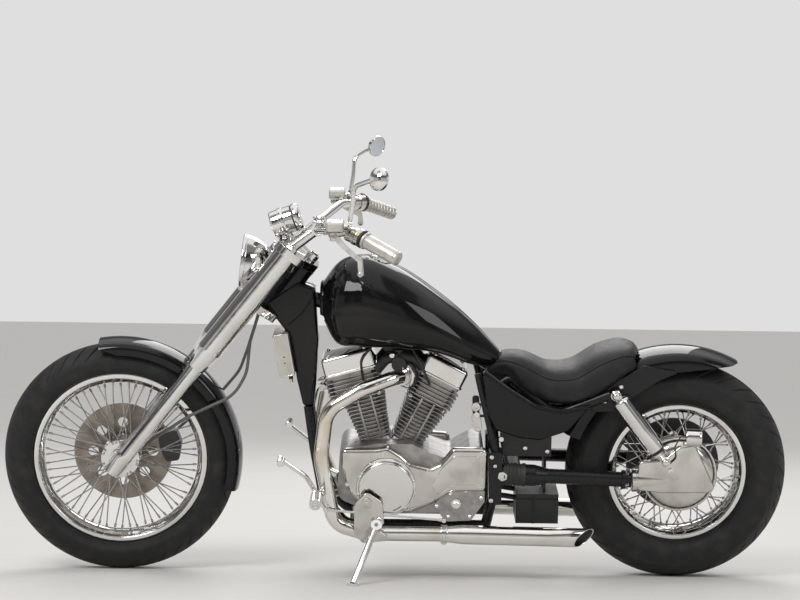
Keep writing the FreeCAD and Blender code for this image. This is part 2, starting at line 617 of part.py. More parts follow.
cross = rod(V(POST_X + 8, -RAIL_Y, 250), V(POST_X + 8, RAIL_Y, 250), 12.0)
upper_cross = rod(V(305, -SEAT_RAIL_Y, 590), V(305, SEAT_RAIL_Y, 590), 14.0)
pivot_bolt = rod(PIVOT - Y * 150, PIVOT + Y * 150, PIVOT_R)
pivot_plate = plate([(258, 398, 8), (298, 398, 8), (298, 244, 8), (262, 244, 8)], -148, -94)
brace = rod(V(282, -122, 388), V(226, -94, 618), 11.0)
pivot_ends = [pivot_plate, mirrored(pivot_plate), brace, mirrored(brace)]
rear_frame = fused(rear_rails(TUBE_R) + [cross, upper_cross, pivot_bolt] + pivot_ends)
rear_frame = rear_frame.cut(main_frame).cut(cradle)
add("frame", "rear_frame", rear_frame)
upper_room = rod(V(305, -SEAT_RAIL_Y, 590), V(305, SEAT_RAIL_Y, 590), 14.0 + CLEAR)
brace_room = rod(V(282, -122, 388), V(226, -94, 618), 11.0 + CLEAR)
rear_frame_room = fused(rear_rails(TUBE_R + CLEAR) + [upper_room, brace_room, mirrored(brace_room)])

# ---- engine ----------------------------------------------------------------------------------------

CASE_HALF = 118.0
case = plate([(-176, 250, 40), (-168, 404, 30), (-120, 400), (-60, 413), (40, 413), (90, 388),
              (150, 370, 20), (206, 402, 24), (246, 414, 14), (246, 286, 20), (214, 214, 16),
              (-60, 204, 60)], -CASE_HALF, CASE_HALF, 6.0)


def tilt_frame(tilt):
    """Unit vectors along a cylinder's axis and across it, rearward."""
    a = math.radians(tilt)
    return V(math.sin(a), 0, math.cos(a)), V(math.cos(a), 0, -math.sin(a))


BARREL_START, HEAD_START, HEAD_END, ROCKER_TOP = 96.0, 262.0, 334.0, 396.0
FIN_START = 130.0
FIN_T = 3.2
CORE_HALF = 38.0
BARREL_FINS, HEAD_FINS = 12, 5
RIB_OFFSET, RIB_HALF = 20.0, 3.5        # the cast ribs that cross the barrel's fins
CYLINDERS = (
    # node, tilt, half width of head and cover, how far they stand forward of the barrel's axis
    ("front_cylinder", FRONT_CYLINDER_TILT, 80.0, 17.0),
    ("rear_cylinder", REAR_CYLINDER_TILT, 69.0, 0.0),
)


def slab(along, across, a0, a1, half_across, half_y, cut):
    """Plate with cut corners, square to a cylinder's axis, from a0 to a1 along it."""
    corners = []
    for s, t in ((-1, -1), (1, -1), (1, 1), (-1, 1)):
        ends = [(s * (half_across - cut), t * half_y), (s * half_across, t * (half_y - cut))]
        for u, v in (ends if s * t < 0 else ends[::-1]):
            corners.append(CRANK + along * a0 + across * u + Y * v)
    return Part.Face(Part.makePolygon(corners + corners[:1])).extrude(along * (a1 - a0))


rockers = []
for node, tilt, head_half, forward in CYLINDERS:
    along, across = tilt_frame(tilt)
    pieces = [slab(along, across, BARREL_START, HEAD_END, CORE_HALF, CORE_HALF + 8, 18.0)]
    for offset in (-RIB_OFFSET, RIB_OFFSET):
        rib = slab(along, across, FIN_START - 10, HEAD_START + 4, RIB_HALF, 60, 1.0)
        rib.translate(across * offset)
        pieces.append(rib)
    for i in range(BARREL_FINS):
        share = i / (BARREL_FINS - 1)
        a = FIN_START + share * (HEAD_START - FIN_START - 8)
        pieces.append(slab(along, across, a, a + FIN_T, 46 + 18 * share, 60 + 10 * share, 12.0))
    for i in range(HEAD_FINS):
        a = HEAD_START + 4 + i * 12.0
        pieces.append(slab(along, across, a, a + FIN_T, head_half, 74, 10.0))
    pieces.append(slab(along, across, HEAD_END - 8, HEAD_END, head_half - 6, 68, 8.0))
    for piece in pieces[-HEAD_FINS - 1:]:
        piece.translate(across * -forward)
    body = pieces[0].multiFuse(pieces[1:])
    add("frame", node, body.cut(case))
    cover = slab(along, across, HEAD_END, ROCKER_TOP, head_half, 76, 10.0)
    cover.translate(across * -forward)
    cover_top = [edge for edge in cover.Edges
                 if all((v.Point - CRANK).dot(along) > ROCKER_TOP - 1 for v in edge.Vertexes)]
    rockers.append(cover.makeFillet(9.0, cover_top))
add("frame", "crankcase", case)
add("frame", "rocker_covers", Part.makeCompound(rockers))

LEFT_FACE = -CASE_HALF
left_cover = plate([(-164, 404, 12), (-118, 404, 8), (-66, 405, 30), (-29, 411, 20), (9, 388, 8),
                    (36, 364, 10), (92, 350, 14), (120, 364, 8), (156, 410, 8), (256, 410, 8),
                    (254, 282, 8), (156, 280, 10), (98, 243, 16), (36, 217, 20), (-40, 212, 40),
                    (-100, 232, 30), (-142, 276, 30), (-166, 346, 30)], LEFT_FACE - 34, LEFT_FACE, 6.0)
gear_end = plate([(104, 240, 10), (150, 290), (250, 290, 6), (250, 250, 6), (212, 194, 12), (137, 190, 12)],
                 LEFT_FACE - 20, LEFT_FACE + 10, 4.0)
BODIES["frame"]["crankcase"] = case = case.fuse(gear_end.cut(left_cover))
add("frame", "left_engine_cover", left_cover)
ROUND_R = 86.0
round_cover = turned([(0, 0), (0, ROUND_R), (10, ROUND_R), (14, ROUND_R - 6), (20, ROUND_R - 8),
                      (24, ROUND_R - 14), (24, 0)], CRANK + Y * (LEFT_FACE - 34), Y * -1, Z)
add("frame", "round_cover", round_cover)
right_cover = plate([(-170, 262, 50), (-160, 392, 12), (-70, 400), (60, 398, 10), (150, 392, 20),
                     (176, 300, 40), (120, 226, 30), (-60, 208, 70)], CASE_HALF, CASE_HALF + 26, 6.0)
clutch = turned([(26, 0), (26, 98), (44, 92), (48, 80), (48, 0)], CRANK + V(70, CASE_HALF, 6), Y, Z)
add("frame", "right_engine_cover", fused([right_cover, clutch]))

# carburettors between the cylinders, under the tank
carb_at = V(-2, 0, 640)
carb = fused([rod(carb_at - Y * 86, carb_at + Y * 86, 21.0),
              rod(carb_at - Y * 60, carb_at - Y * 60 + Z * 40, 16),
              rod(carb_at + Y * 60, carb_at + Y * 60 + Z * 40, 16)])
for node in ("front_cylinder", "rear_cylinder", "rocker_covers"):
    carb = carb.cut(BODIES["frame"][node])
add("frame", "carburettors", carb)

# exhausts
PIPE_R = 21.5
COLLAR = 6.0                    # how far the port rings and muffler clamps stand out
MUFFLER_R = 27.5
MUFFLER_DROOP = 6.0             # how far its end hangs below its start
MUFFLER_START, MUFFLER_FULL, MUFFLER_END = 132.0, 186.0, 537.0
EXHAUST_Y = 165.0
EXHAUST_Z = 160.0


def muffler(side):
    """Cone and straight pipe with a clamp ring at its start, slash cut towards its own side and hollow."""
    start = V(MUFFLER_START, side * EXHAUST_Y, EXHAUST_Z)
    cut_at = V(MUFFLER_END, side * EXHAUST_Y, EXHAUST_Z - MUFFLER_DROOP)
    way = (cut_at - start).normalize()
    clamp_r = PIPE_R + COLLAR
    full_at, end_at = MUFFLER_FULL - MUFFLER_START, MUFFLER_END + 60 - MUFFLER_START
    outer = turned([(-8, 0), (-8, clamp_r), (12, clamp_r), (12, PIPE_R + 1.5), (full_at, MUFFLER_R),
                    (end_at, MUFFLER_R), (end_at, 0)], start, way, Y)
    slash_way = V(1, 0.56 * side, -0.86).normalize()
    hollow = rod(cut_at - way * 110, cut_at + way * 62, MUFFLER_R - 3)
    return outer.cut(hollow).cut(rod(cut_at, cut_at + slash_way * 200, 150.0))


LEFT_HEADER = (V(22, -66, 606), V(-20, -112, 604), V(-108, -152, 578), V(-206, -162, 520),
               V(-222, -165, 380), V(-182, -165, 186), V(-90, -165, EXHAUST_Z),
               V(MUFFLER_START, -165, EXHAUST_Z))
LEFT_BENDS = (40.0, 90.0, 80.0, 150.0, 62.0, 80.0)
RIGHT_HEADER = (V(-176, 60, 560), V(-230, 112, 540), V(-250, 160, 440), V(-222, 165, 300),
                V(-172, 165, 178), V(-90, 165, EXHAUST_Z), V(MUFFLER_START, 165, EXHAUST_Z))
RIGHT_BENDS = (40.0, 70.0, 150.0, 62.0, 80.0)
left_pipe = tube(list(LEFT_HEADER), PIPE_R, list(LEFT_BENDS))
right_pipe = tube(list(RIGHT_HEADER), PIPE_R, list(RIGHT_BENDS))
port_way = (LEFT_HEADER[1] - LEFT_HEADER[0]).normalize()
port = LEFT_HEADER[0]
left_pipe = left_pipe.fuse(rod(port + port_way * 12, port + port_way * 24, PIPE_R + COLLAR))
port_way = (RIGHT_HEADER[1] - RIGHT_HEADER[0]).normalize()
port = RIGHT_HEADER[0]
right_pipe = right_pipe.fuse(rod(port + port_way * 30, port + port_way * 42, PIPE_R + COLLAR))
for node in ("front_cylinder", "rear_cylinder", "rocker_covers", "crankcase", "left_engine_cover",
             "carburettors"):
    left_pipe = left_pipe.cut(BODIES["frame"][node])
    right_pipe = right_pipe.cut(BODIES["frame"][node])
add("frame", "exhaust_pipes", Part.makeCompound([left_pipe, right_pipe]))
add("frame", "mufflers", Part.makeCompound([muffler(-1).cut(left_pipe), muffler(1).cut(right_pipe)]))

# ---- tank, seat and covers -------------------------------------------------------------------------

TANK_SECTIONS = (
    # x, bottom z, top z, half width, height of the widest line as a share
    (-222, 772, 868, 62, 0.40),
    (-190, 716, 912, 112, 0.42),
    (-120, 700, 944, 142, 0.42),
    (-20, 696, 918, 150, 0.42),
    (110, 680, 834, 132, 0.42),
    (220, 640, 742, 92, 0.45),
    (290, 628, 668, 44, 0.50),
)


def tank_section(x, low, high, half, share):
    """Flat bottom, full sides and a rounded crown."""
    waist = low + share * (high - low)
    base = 0.72 * half
    points = [V(x, -base, low), V(x, base, low), V(x, half, waist), V(x, 0, high), V(x, -half, waist)]
    side_r = V(x, 0.93 * half, low + 0.35 * (waist - low))
    side_l = V(x, -side_r.y, side_r.z)
    crown_r = V(x, 0.80 * half, waist + 0.62 * (high - waist))
    crown_l = V(x, -crown_r.y, crown_r.z)
    return Part.Wire([Part.LineSegment(points[0], points[1]).toShape(),
                      Part.Arc(points[1], side_r, points[2]).toShape(),
                      Part.Arc(points[2], crown_r, points[3]).toShape(),
                      Part.Arc(points[3], crown_l, points[4]).toShape(),
                      Part.Arc(points[4], side_l, points[0]).toShape()])


tank = loft([tank_section(*row) for row in TANK_SECTIONS])
tunnel = plate([(-260, 560), (-260, 866), (-210, 838), (100, 756), (310, 640), (310, 560)],
               -TANK_TUNNEL, TANK_TUNNEL)
tank = tank.cut(tunnel)
add("frame", "fuel_tank", tank)
cap_at = V(-62, 0, 926)
cap = Part.makeCylinder(34, 40, cap_at - Z * 20, V(0.16, 0, 1)).cut(tank)
cap = max(cap.Solids, key=lambda s: s.CenterOfMass.z)
add("frame", "filler_cap", cap)

SEAT_SECTIONS = (
    # x, bottom z, top z, half width
    (262, 606, 652, 58),
    (300, 596, 668, 74),
    (360, 556, 664, 100),
    (430, 530, 632, 122),
    (500, 524, 636, 134),
    (580, 558, 682, 138),
    (650, 610, 697, 128),
    (706, 640, 680, 96),
)


def seat_section(x, low, high, half):
    edge = low + 0.45 * (high - low)
    return Part.Wire([Part.LineSegment(V(x, -0.85 * half, low), V(x, 0.85 * half, low)).toShape(),
                      Part.Arc(V(x, 0.85 * half, low), V(x, 0.98 * half, low + 0.2 * (high - low)),
                               V(x, half, edge)).toShape(),
                      Part.Arc(V(x, half, edge), V(x, 0, high), V(x, -half, edge)).toShape(),
                      Part.Arc(V(x, -half, edge), V(x, -0.98 * half, low + 0.2 * (high - low)),
                               V(x, -0.85 * half, low)).toShape()])


seat = loft([seat_section(*row) for row in SEAT_SECTIONS])

REAR_FENDER_R = 369.0
REAR_FENDER_HALF = 100.0
rear_fender = fender(REAR_AXLE, REAR_FENDER_R, REAR_FENDER_HALF, 60.0, 26.0, -70.0, 27.0, 3.0)
lower_edge = plate([(1020, 640), (975, 648), (930, 646), (780, 628), (690, 622), (600, 560), (560, 500),
                    (900, 400), (1020, 500)], -200, 200)
rear_fender = longest(rear_fender.cut(lower_edge).cut(rear_frame_room))
add("frame", "rear_fender", rear_fender)
seat = seat.cut(Part.makeCylinder(REAR_FENDER_R + 2, 320, REAR_AXLE - Y * 160, Y))
seat = seat.cut(rear_frame_room)
seat = seat.cut(tank).cut(tube(list(BACKBONE), BACKBONE_R + CLEAR, 120.0))
add("frame", "seat", max(seat.Solids, key=lambda s: s.Volume))

side_cover = plate([(238, 640, 8), (310, 587), (392, 535), (467, 521), (552, 537, 6), (487, 460, 20),
                    (407, 432, 30), (345, 438), (278, 460, 20), (250, 520)], -136, -112, 20.0)
side_cover = longest(side_cover.cut(seat).cut(tank).cut(rear_frame_room))
add("frame", "side_covers", pair(side_cover))

strut = plate([(552, 528, 6), (556, 512, 6), (622, 514, 12), (670, 556, 20), (752, 610, 20), (806, 632, 4),
               (700, 650, 8), (600, 590, 20)], -110, -102)
strut = strut.cut(rear_frame_room).cut(rear_fender).cut(seat)
SHOCK_TOP, SHOCK_LOW = V(618, -148, 572), V(764, -148, 380)
stud = rod(V(SHOCK_TOP.x, SHOCK_TOP.y + 14 + CLEAR, SHOCK_TOP.z), V(SHOCK_TOP.x, -103, SHOCK_TOP.z), 10.0)
stud = stud.cut(rear_frame)
add("frame", "fender_struts", pair(longest(longest(strut).fuse(stud))))

# ---- rear suspension and drive ---------------------------------------------------------------------

SHAFT_Y = 122.0
shaft = turned([(0, 0), (0, 31), (92, 31), (132, 21.5), (372, 21.5), (372, 0)], PIVOT - Y * SHAFT_Y,
               V(0.9993, 0, -0.036).normalize(), Y)
right_arm = rod(PIVOT + Y * SHAFT_Y, V(REAR_AXLE.x - 60, SHAFT_Y, REAR_AXLE.z), 20.0)
arm_end = plate([(REAR_AXLE.x - 90, REAR_AXLE.z + 20), (REAR_AXLE.x - 10, REAR_AXLE.z + 26),
                 (REAR_AXLE.x + 26, REAR_AXLE.z + 14), (REAR_AXLE.x + 26, REAR_AXLE.z - 14),
                 (REAR_AXLE.x - 10, REAR_AXLE.z - 26), (REAR_AXLE.x - 90, REAR_AXLE.z - 20)],
                SHAFT_Y - 12, SHAFT_Y + 12, 8.0)
cross_tube = rod(PIVOT - Y * SHAFT_Y + X * 34, PIVOT + Y * SHAFT_Y + X * 34, 24.0)
swingarm = fused([shaft, cross_tube, right_arm, arm_end])
swingarm = swingarm.cut(fused(rear_rails(TUBE_R + CLEAR))).cut(case).cut(left_cover)
swingarm = swingarm.cut(rod(PIVOT - Y * 160, PIVOT + Y * 160, PIVOT_R + CLEAR))
add("frame", "swingarm", swingarm)

drive = turned([(0, 0), (0, 104), (14, 110), (30, 108), (52, 92), (58, 70), (58, 0)],
               REAR_AXLE - Y * 72 + V(0, 0, 8), Y * -1, Z)
snout = rod(V(REAR_AXLE.x - 140, -SHAFT_Y, 316), V(REAR_AXLE.x, -SHAFT_Y + 6, 322), 34.0)
gear_plate = plate([(688, 292, 8), (690, 378, 14), (760, 384, 20), (806, 424, 10), (850, 430, 10),
                    (912, 300, 8), (890, 286, 10), (760, 284, 20)], -150, -128, 10.0)
can = rod(V(822, -138, 448), V(868, -138, 446), 25.0)
final_drive = fused([drive, snout, gear_plate, can])
final_drive = final_drive.cut(swingarm)
add("frame", "final_drive", final_drive)

shock_way = (SHOCK_LOW - SHOCK_TOP).normalize()
SHOCK_R = 27.0
shock = fused([turned([(16, 0), (16, SHOCK_R - 4), (24, SHOCK_R), (198, SHOCK_R), (206, 20), (226, 20),
                       (226, 0)], SHOCK_TOP, shock_way, Y),
               rod(SHOCK_TOP - Y * 14, SHOCK_TOP + Y * 14, 15.0),
               rod(SHOCK_TOP, SHOCK_TOP + shock_way * 20, 9.0),
               rod(SHOCK_LOW - Y * 14, SHOCK_LOW + Y * 14, 15.0),
               rod(SHOCK_LOW - shock_way * 20, SHOCK_LOW, 12.0)])
shock = shock.cut(final_drive)
add("frame", "shock_absorbers", Part.makeCompound([shock, mirrored(shock)]))

AXLE_REAR_R = 13.5
rear_left, rear_right = -70.0, SHAFT_Y + 22
rear_axle = fused([rod(REAR_AXLE + Y * rear_left, REAR_AXLE + Y * rear_right, AXLE_REAR_R),
                   rod(REAR_AXLE + Y * (SHAFT_Y + 12), REAR_AXLE + Y * rear_right, 19.0)])
rear_bore = rod(REAR_AXLE + Y * (rear_right - 40), REAR_AXLE + Y * (rear_right + 1), AXLE_BORE_R)
rear_axle = rear_axle.cut(rear_bore)
axle_hole = rod(REAR_AXLE, REAR_AXLE + Y * (SHAFT_Y + 12), AXLE_REAR_R + 0.1)
BODIES["frame"]["swingarm"] = swingarm.cut(axle_hole)
add("frame", "rear_axle", rear_axle.cut(final_drive))

caliper_r = plate([(REAR_AXLE.x - 118, REAR_AXLE.z + 30), (REAR_AXLE.x - 60, REAR_AXLE.z + 118),
                   (REAR_AXLE.x - 96, REAR_AXLE.z + 132), (REAR_AXLE.x - 152, REAR_AXLE.z + 60)], 50, 92,
                  10.0)
caliper_r = caliper_r.cut(Part.makeCylinder(142, DISC_T + 3, REAR_AXLE + Y * 60.5, Y))
link = plate([(REAR_AXLE.x - 118, REAR_AXLE.z + 44), (REAR_AXLE.x - 90, REAR_AXLE.z + 70),
              (REAR_AXLE.x - 20, REAR_AXLE.z + 20), (REAR_AXLE.x - 60, REAR_AXLE.z - 16)], 92, 109.5, 6.0)
caliper_r = caliper_r.fuse(link).cut(BODIES["frame"]["swingarm"])
add("frame", "rear_caliper", caliper_r)

# ---- boxes, brackets and controls ------------------------------------------------------------------

battery_box = Part.makeBox(124, 150, 88, V(344, -75, 170))
hangers = [rod(V(POST_X + 8, y, 250), V(352, y, 240), 8.0) for y in (-50, 50)]
tray = Part.makeBox(140, 190, 86, V(302, -95, 376))
tray_wall = Part.makeBox(8, 80, 130, V(424, -40, 252))
tray_arms = [rod(V(278, y, 420), V(306, y, 420), 8.0) for y in (-73, 73)]
add("frame", "battery_box", fused([battery_box, tray, tray_wall] + hangers + tray_arms).cut(rear_frame))
regulator = plate([(-368, 715, 6), (-323, 723, 6), (-301, 598, 6), (-345, 590, 6)], -60, 60)
nipple = rod(V(-318, 0, 596), V(-314, 0, 566), 8)
regulator = fused([regulator, nipple]).cut(main_frame).cut(cradle)
add("frame", "regulator_box", max(regulator.Solids, key=lambda s: s.Volume))

BRACKET_Y = -208.0
STAND_PIVOT = V(-60, -230, 200)
bracket = plate([(-120, 262, 14), (-90, 294, 16), (-44, 264, 20), (-38, 200, 10), (-58, 184, 8),
                 (-28, 164, 5), (-30, 150, 5), (-98, 142, 12), (-124, 166, 12), (-124, 240, 20)],
                BRACKET_Y, BRACKET_Y + 8)
arm = tube([V(-88, -RAIL_Y, RAIL_Z), V(-88, -132, 206), V(-88, -150, 212), V(-88, BRACKET_Y + 4, 212)], 10.0,
           [20.0, 10.0])
stand_bracket = bracket.fuse(arm.cut(cradle)).cut(left_cover)


def foot_controls(side):
    """Forward peg on its arm from the frame, and the pedal ahead of it."""
    y0 = side * (RAIL_Y + TUBE_R)
    arm = tube([V(-176, y0, 262), V(-214, side * 150, 268), V(-232, side * 196, 280)], 11.0, [30.0])
    peg = rod(V(-232, side * 196, 280), V(-232, side * 300, 280), 17.0)
    pedal = tube([V(-232, side * 180, 280), V(-262, side * 204, 336), V(-332, side * 214, 388)], 7.0, [50.0])
    pad = rod(V(-332, side * 206, 388), V(-332, side * 262, 388), 11.0)
    return fused([arm, peg, pedal, pad])


left_foot = foot_controls(-1)
linkage = [rod(V(-232, -201, 280), V(-206, -201, 238), 7.0), rod(V(-206, -201, 238), V(133, -182, 206), 3.5),
           rod(V(133, LEFT_FACE - 20, 206), V(133, -190, 206), 9.0)]
left_foot = fused([left_foot] + linkage)
for node in ("cradle", "exhaust_pipes", "left_engine_cover", "crankcase", "round_cover"):
    left_foot = left_foot.cut(BODIES["frame"][node])
right_foot = foot_controls(1)
for node in ("cradle", "exhaust_pipes", "crankcase", "right_engine_cover"):
    right_foot = right_foot.cut(BODIES["frame"][node])
add("frame", "foot_controls", Part.makeCompound([max(foot.Solids, key=lambda s: s.Volume)
                                                 for foot in (left_foot, right_foot)]))

# ---- how it stands ---------------------------------------------------------------------------------


def lowest(axle, axle_way, radius, crown_r):
    """Lowest height of a tyre whose tread is an arc of crown_r turned about its axle."""
    return axle.z - (radius - crown_r) * math.sqrt(1 - axle_way.z ** 2) - crown_r


steer = FreeCAD.Placement(V(0, 0, 0), FreeCAD.Rotation(UP_FORK, STEER_REST), on_fork(0, 0, FORK_OFFSET))
lean = FreeCAD.Placement(V(0, 0, 0), FreeCAD.Rotation(X, LEAN))
pitch_angle = 0.0
for attempt in range(6):
    stand = FreeCAD.Placement(V(0, 0, 0), FreeCAD.Rotation(Y, pitch_angle)).multiply(lean)
    front_way = stand.Rotation.multVec(steer.Rotation.multVec(Y))
    front_low = lowest(stand.multVec(steer.multVec(FRONT_AXLE)), front_way, FRONT_TYRE_R, FRONT_TYRE_HALF)
    rear_low = lowest(stand.multVec(REAR_AXLE), stand.Rotation.multVec(Y), REAR_TYRE_R, REAR_CROWN_R)
    pitch_angle += math.degrees((rear_low - front_low) / WHEELBASE)
stand = FreeCAD.Placement(V(0, 0, -(front_low + rear_low) / 2), FreeCAD.Rotation(0, 0, 0, 1)).multiply(stand)

# the side stand is drawn as it stands, its foot flat on the floor
pivot = stand.multVec(STAND_PIVOT)
foot = V(pivot.x - 62, pivot.y - 96, 0)
leg_way = (foot - pivot).normalize()
stowed_way = stand.Rotation.multVec(V(0.99, -0.02, -0.06)).normalize()
hinge_way = leg_way.cross(stowed_way).normalize()
EYE_HALF, EYE_R, BOLT_R = 9.0, 16.0, 6.0
leg = rod(pivot, foot + Z * 7, 9.0)
eye = rod(pivot - hinge_way * EYE_HALF, pivot + hinge_way * EYE_HALF, EYE_R)
foot_plate = Part.makeCylinder(17.0, 8.0, foot, Z)
bolt_hole = rod(pivot - hinge_way * 20, pivot + hinge_way * 20, BOLT_R + 0.1)
side_stand = fused([leg, eye, foot_plate]).cut(bolt_hole)
add("side_stand", "side_stand", side_stand)

# the lug that carries it is part of the bracket, on the upright machine
lug_face = pivot - hinge_way * (EYE_HALF + CLEAR)
bolt_out = pivot + hinge_way * (EYE_HALF + CLEAR)
lug = fused([rod(lug_face, lug_face - hinge_way * 10, EYE_R), rod(lug_face, bolt_out, BOLT_R),
             rod(bolt_out, pivot + hinge_way * (EYE_HALF + 6), BOLT_R + 4)])
lug.transformShape(stand.inverse().toMatrix())
web = rod(V(-70, BRACKET_Y + 4, 196), stand.inverse().multVec(lug_face - hinge_way * 5), 9.0)
room = rod(pivot - hinge_way * (EYE_HALF + CLEAR), pivot + hinge_way * 40, EYE_R + 3)
room.transformShape(stand.inverse().toMatrix())
bracket_body = stand_bracket.fuse(web).cut(room)
add("frame", "stand_bracket", fused([bracket_body, lug]))

placed = {}
for body, nodes in BODIES.items():
    for node, shape in nodes.items():
        shape = shape.copy()
        if body in ("fork", "front_wheel"):
            shape.transformShape(stand.multiply(steer).toMatrix())
        elif body != "side_stand":
            shape.transformShape(stand.toMatrix())
        placed[node] = shape

boxes = [shape.optimalBoundingBox(False, False) for shape in placed.values()]
shift = V(-(min(b.XMin for b in boxes) + max(b.XMax for b in boxes)) / 2,
          -(min(b.YMin for b in boxes) + max(b.YMax for b in boxes)) / 2,
          -min(b.ZMin for b in boxes))

os.makedirs("parts", exist_ok=True)
for node, shape in placed.items():
    shape.translate(shift)
    shape.exportStep("parts/%s.step" % node)

# joint and mount places in the finished frame
shown = (
    ("steering", stand.multVec(steer.multVec(head_low)), stand.Rotation.multVec(UP_FORK)),
    ("front_wheel_spin", stand.multVec(steer.multVec(FRONT_AXLE)), front_way),
    ("rear_wheel_spin", stand.multVec(REAR_AXLE), stand.Rotation.multVec(Y)),
    ("side_stand_fold", pivot, hinge_way),
    ("front_axle_bore", stand.multVec(steer.multVec(FRONT_AXLE + Y * (axle_right + 8))), front_way),
    ("rear_axle_bore", stand.multVec(V(REAR_AXLE.x, rear_right, REAR_AXLE.z)), stand.Rotation.multVec(Y)),
    ("stand_foot", foot, Z * -1),
    ("rider_seat", stand.multVec(V(500, 0, 640)), stand.Rotation.multVec(Z)),
)
for name, place, way in shown:
    place = (place + shift) * 0.001
    print("%-18s %.6f %.6f %.6f   %.7f %.7f %.7f" % (name, place.x, place.y, place.z, way.x, way.y, way.z))
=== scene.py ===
import bpy
import bmesh
import json
import math
import numpy as np
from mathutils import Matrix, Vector
from mathutils.bvhtree import BVHTree


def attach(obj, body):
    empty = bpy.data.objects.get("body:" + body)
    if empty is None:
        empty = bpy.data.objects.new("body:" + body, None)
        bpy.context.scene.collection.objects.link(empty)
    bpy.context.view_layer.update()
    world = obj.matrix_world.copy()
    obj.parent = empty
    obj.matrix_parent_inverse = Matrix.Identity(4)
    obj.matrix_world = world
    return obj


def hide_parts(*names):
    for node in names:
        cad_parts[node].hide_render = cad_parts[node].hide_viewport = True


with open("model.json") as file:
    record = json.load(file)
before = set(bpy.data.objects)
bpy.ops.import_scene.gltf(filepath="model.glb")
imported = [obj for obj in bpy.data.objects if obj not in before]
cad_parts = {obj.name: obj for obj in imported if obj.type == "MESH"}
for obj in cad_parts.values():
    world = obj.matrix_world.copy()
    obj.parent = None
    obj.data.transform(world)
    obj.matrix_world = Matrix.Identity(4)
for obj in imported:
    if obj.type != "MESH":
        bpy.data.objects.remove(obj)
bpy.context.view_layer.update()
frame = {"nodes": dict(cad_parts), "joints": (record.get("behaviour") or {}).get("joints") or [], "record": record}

# ---- where the motorcycle stands -----------------------------------------------------------------
# A long low cruiser resting on its side stand. Its pieces are drawn upright and steered straight,
# in millimetres with x = 0 between the axles, then stood up with the two turns below, which are
# read back from the wheel and steering joints of the frame.

WHEELBASE, FRONT_R, REAR_R = 1625.0, 340.0, 322.0
RAKE = math.radians(38.0)
UP_FORK = np.array([math.sin(RAKE), 0, math.cos(RAKE)])
BACK_FORK = np.array([math.cos(RAKE), 0, -math.sin(RAKE)])
FRONT_AXLE = np.array([-WHEELBASE / 2, 0, FRONT_R])
REAR_AXLE = np.array([WHEELBASE / 2, 0, REAR_R])
HEAD_LOW = FRONT_AXLE + UP_FORK * 621 + BACK_FORK * 70
ACROSS = np.array([0.0, 1.0, 0.0])
joint = {j["name"]: (1000 * np.array(j["pos_m"]), np.array(j["axis"])) for j in frame["joints"]}


def unit(v):
    return v / np.linalg.norm(v, axis=-1, keepdims=True)


def turn_between(a1, a2, b1, b2):
    """Rotation that takes the right-angled pair a1, a2 to b1, b2: each pair and its cross product as columns."""
    a = np.stack([unit(a1), unit(a2), np.cross(unit(a1), unit(a2))], 1)
    b = np.stack([unit(b1), unit(b2), np.cross(unit(b1), unit(b2))], 1)
    return b @ a.T


rear_at, rear_way = joint["rear_wheel_spin"]
head_at, head_way = joint["steering"]
front_at, front_way = joint["front_wheel_spin"]
lean_turn = turn_between(REAR_AXLE - HEAD_LOW, ACROSS, rear_at - head_at, rear_way)
fork_turn = turn_between(UP_FORK, ACROSS, head_way, front_way)
STAND = {
    "frame": (lean_turn, rear_at - lean_turn @ REAR_AXLE),
    "fork": (fork_turn, front_at - fork_turn @ FRONT_AXLE),
}
STAND["rear_wheel"], STAND["front_wheel"] = STAND["frame"], STAND["fork"]


def stood(points, body):
    """Upright millimetres to the finished frame in metres: turn, then shift."""
    turn, shift = STAND[body]
    return (np.asarray(points, float) @ turn.T + shift) * 0.001


# ---- camera, floor and light ---------------------------------------------------------------------
# The camera stands 6.5 m to the left of the tyres at 0.8 m height and looks level across the
# machine. The floor is plain and pale, the world is bright overhead with a darker band below it.

tread_line = rear_at[1] * 0.001 + REAR_R * 0.001 * math.sin(math.radians(10.0))
middle_x = (rear_at[0] + front_at[0]) * 0.0005

camera_data = bpy.data.cameras.new("camera")
camera_data.sensor_width = 36.0
camera_data.lens = 2193.0 / 800.0 * 36.0
camera = bpy.data.objects.new("camera", camera_data)
camera.location = (middle_x - 0.001, tread_line - 6.5, 0.802)
camera.rotation_euler = (math.radians(90.0), math.radians(-0.75), 0.0)
bpy.context.scene.collection.objects.link(camera)
bpy.context.scene.camera = camera
bpy.context.scene.view_settings.view_transform = "Standard"


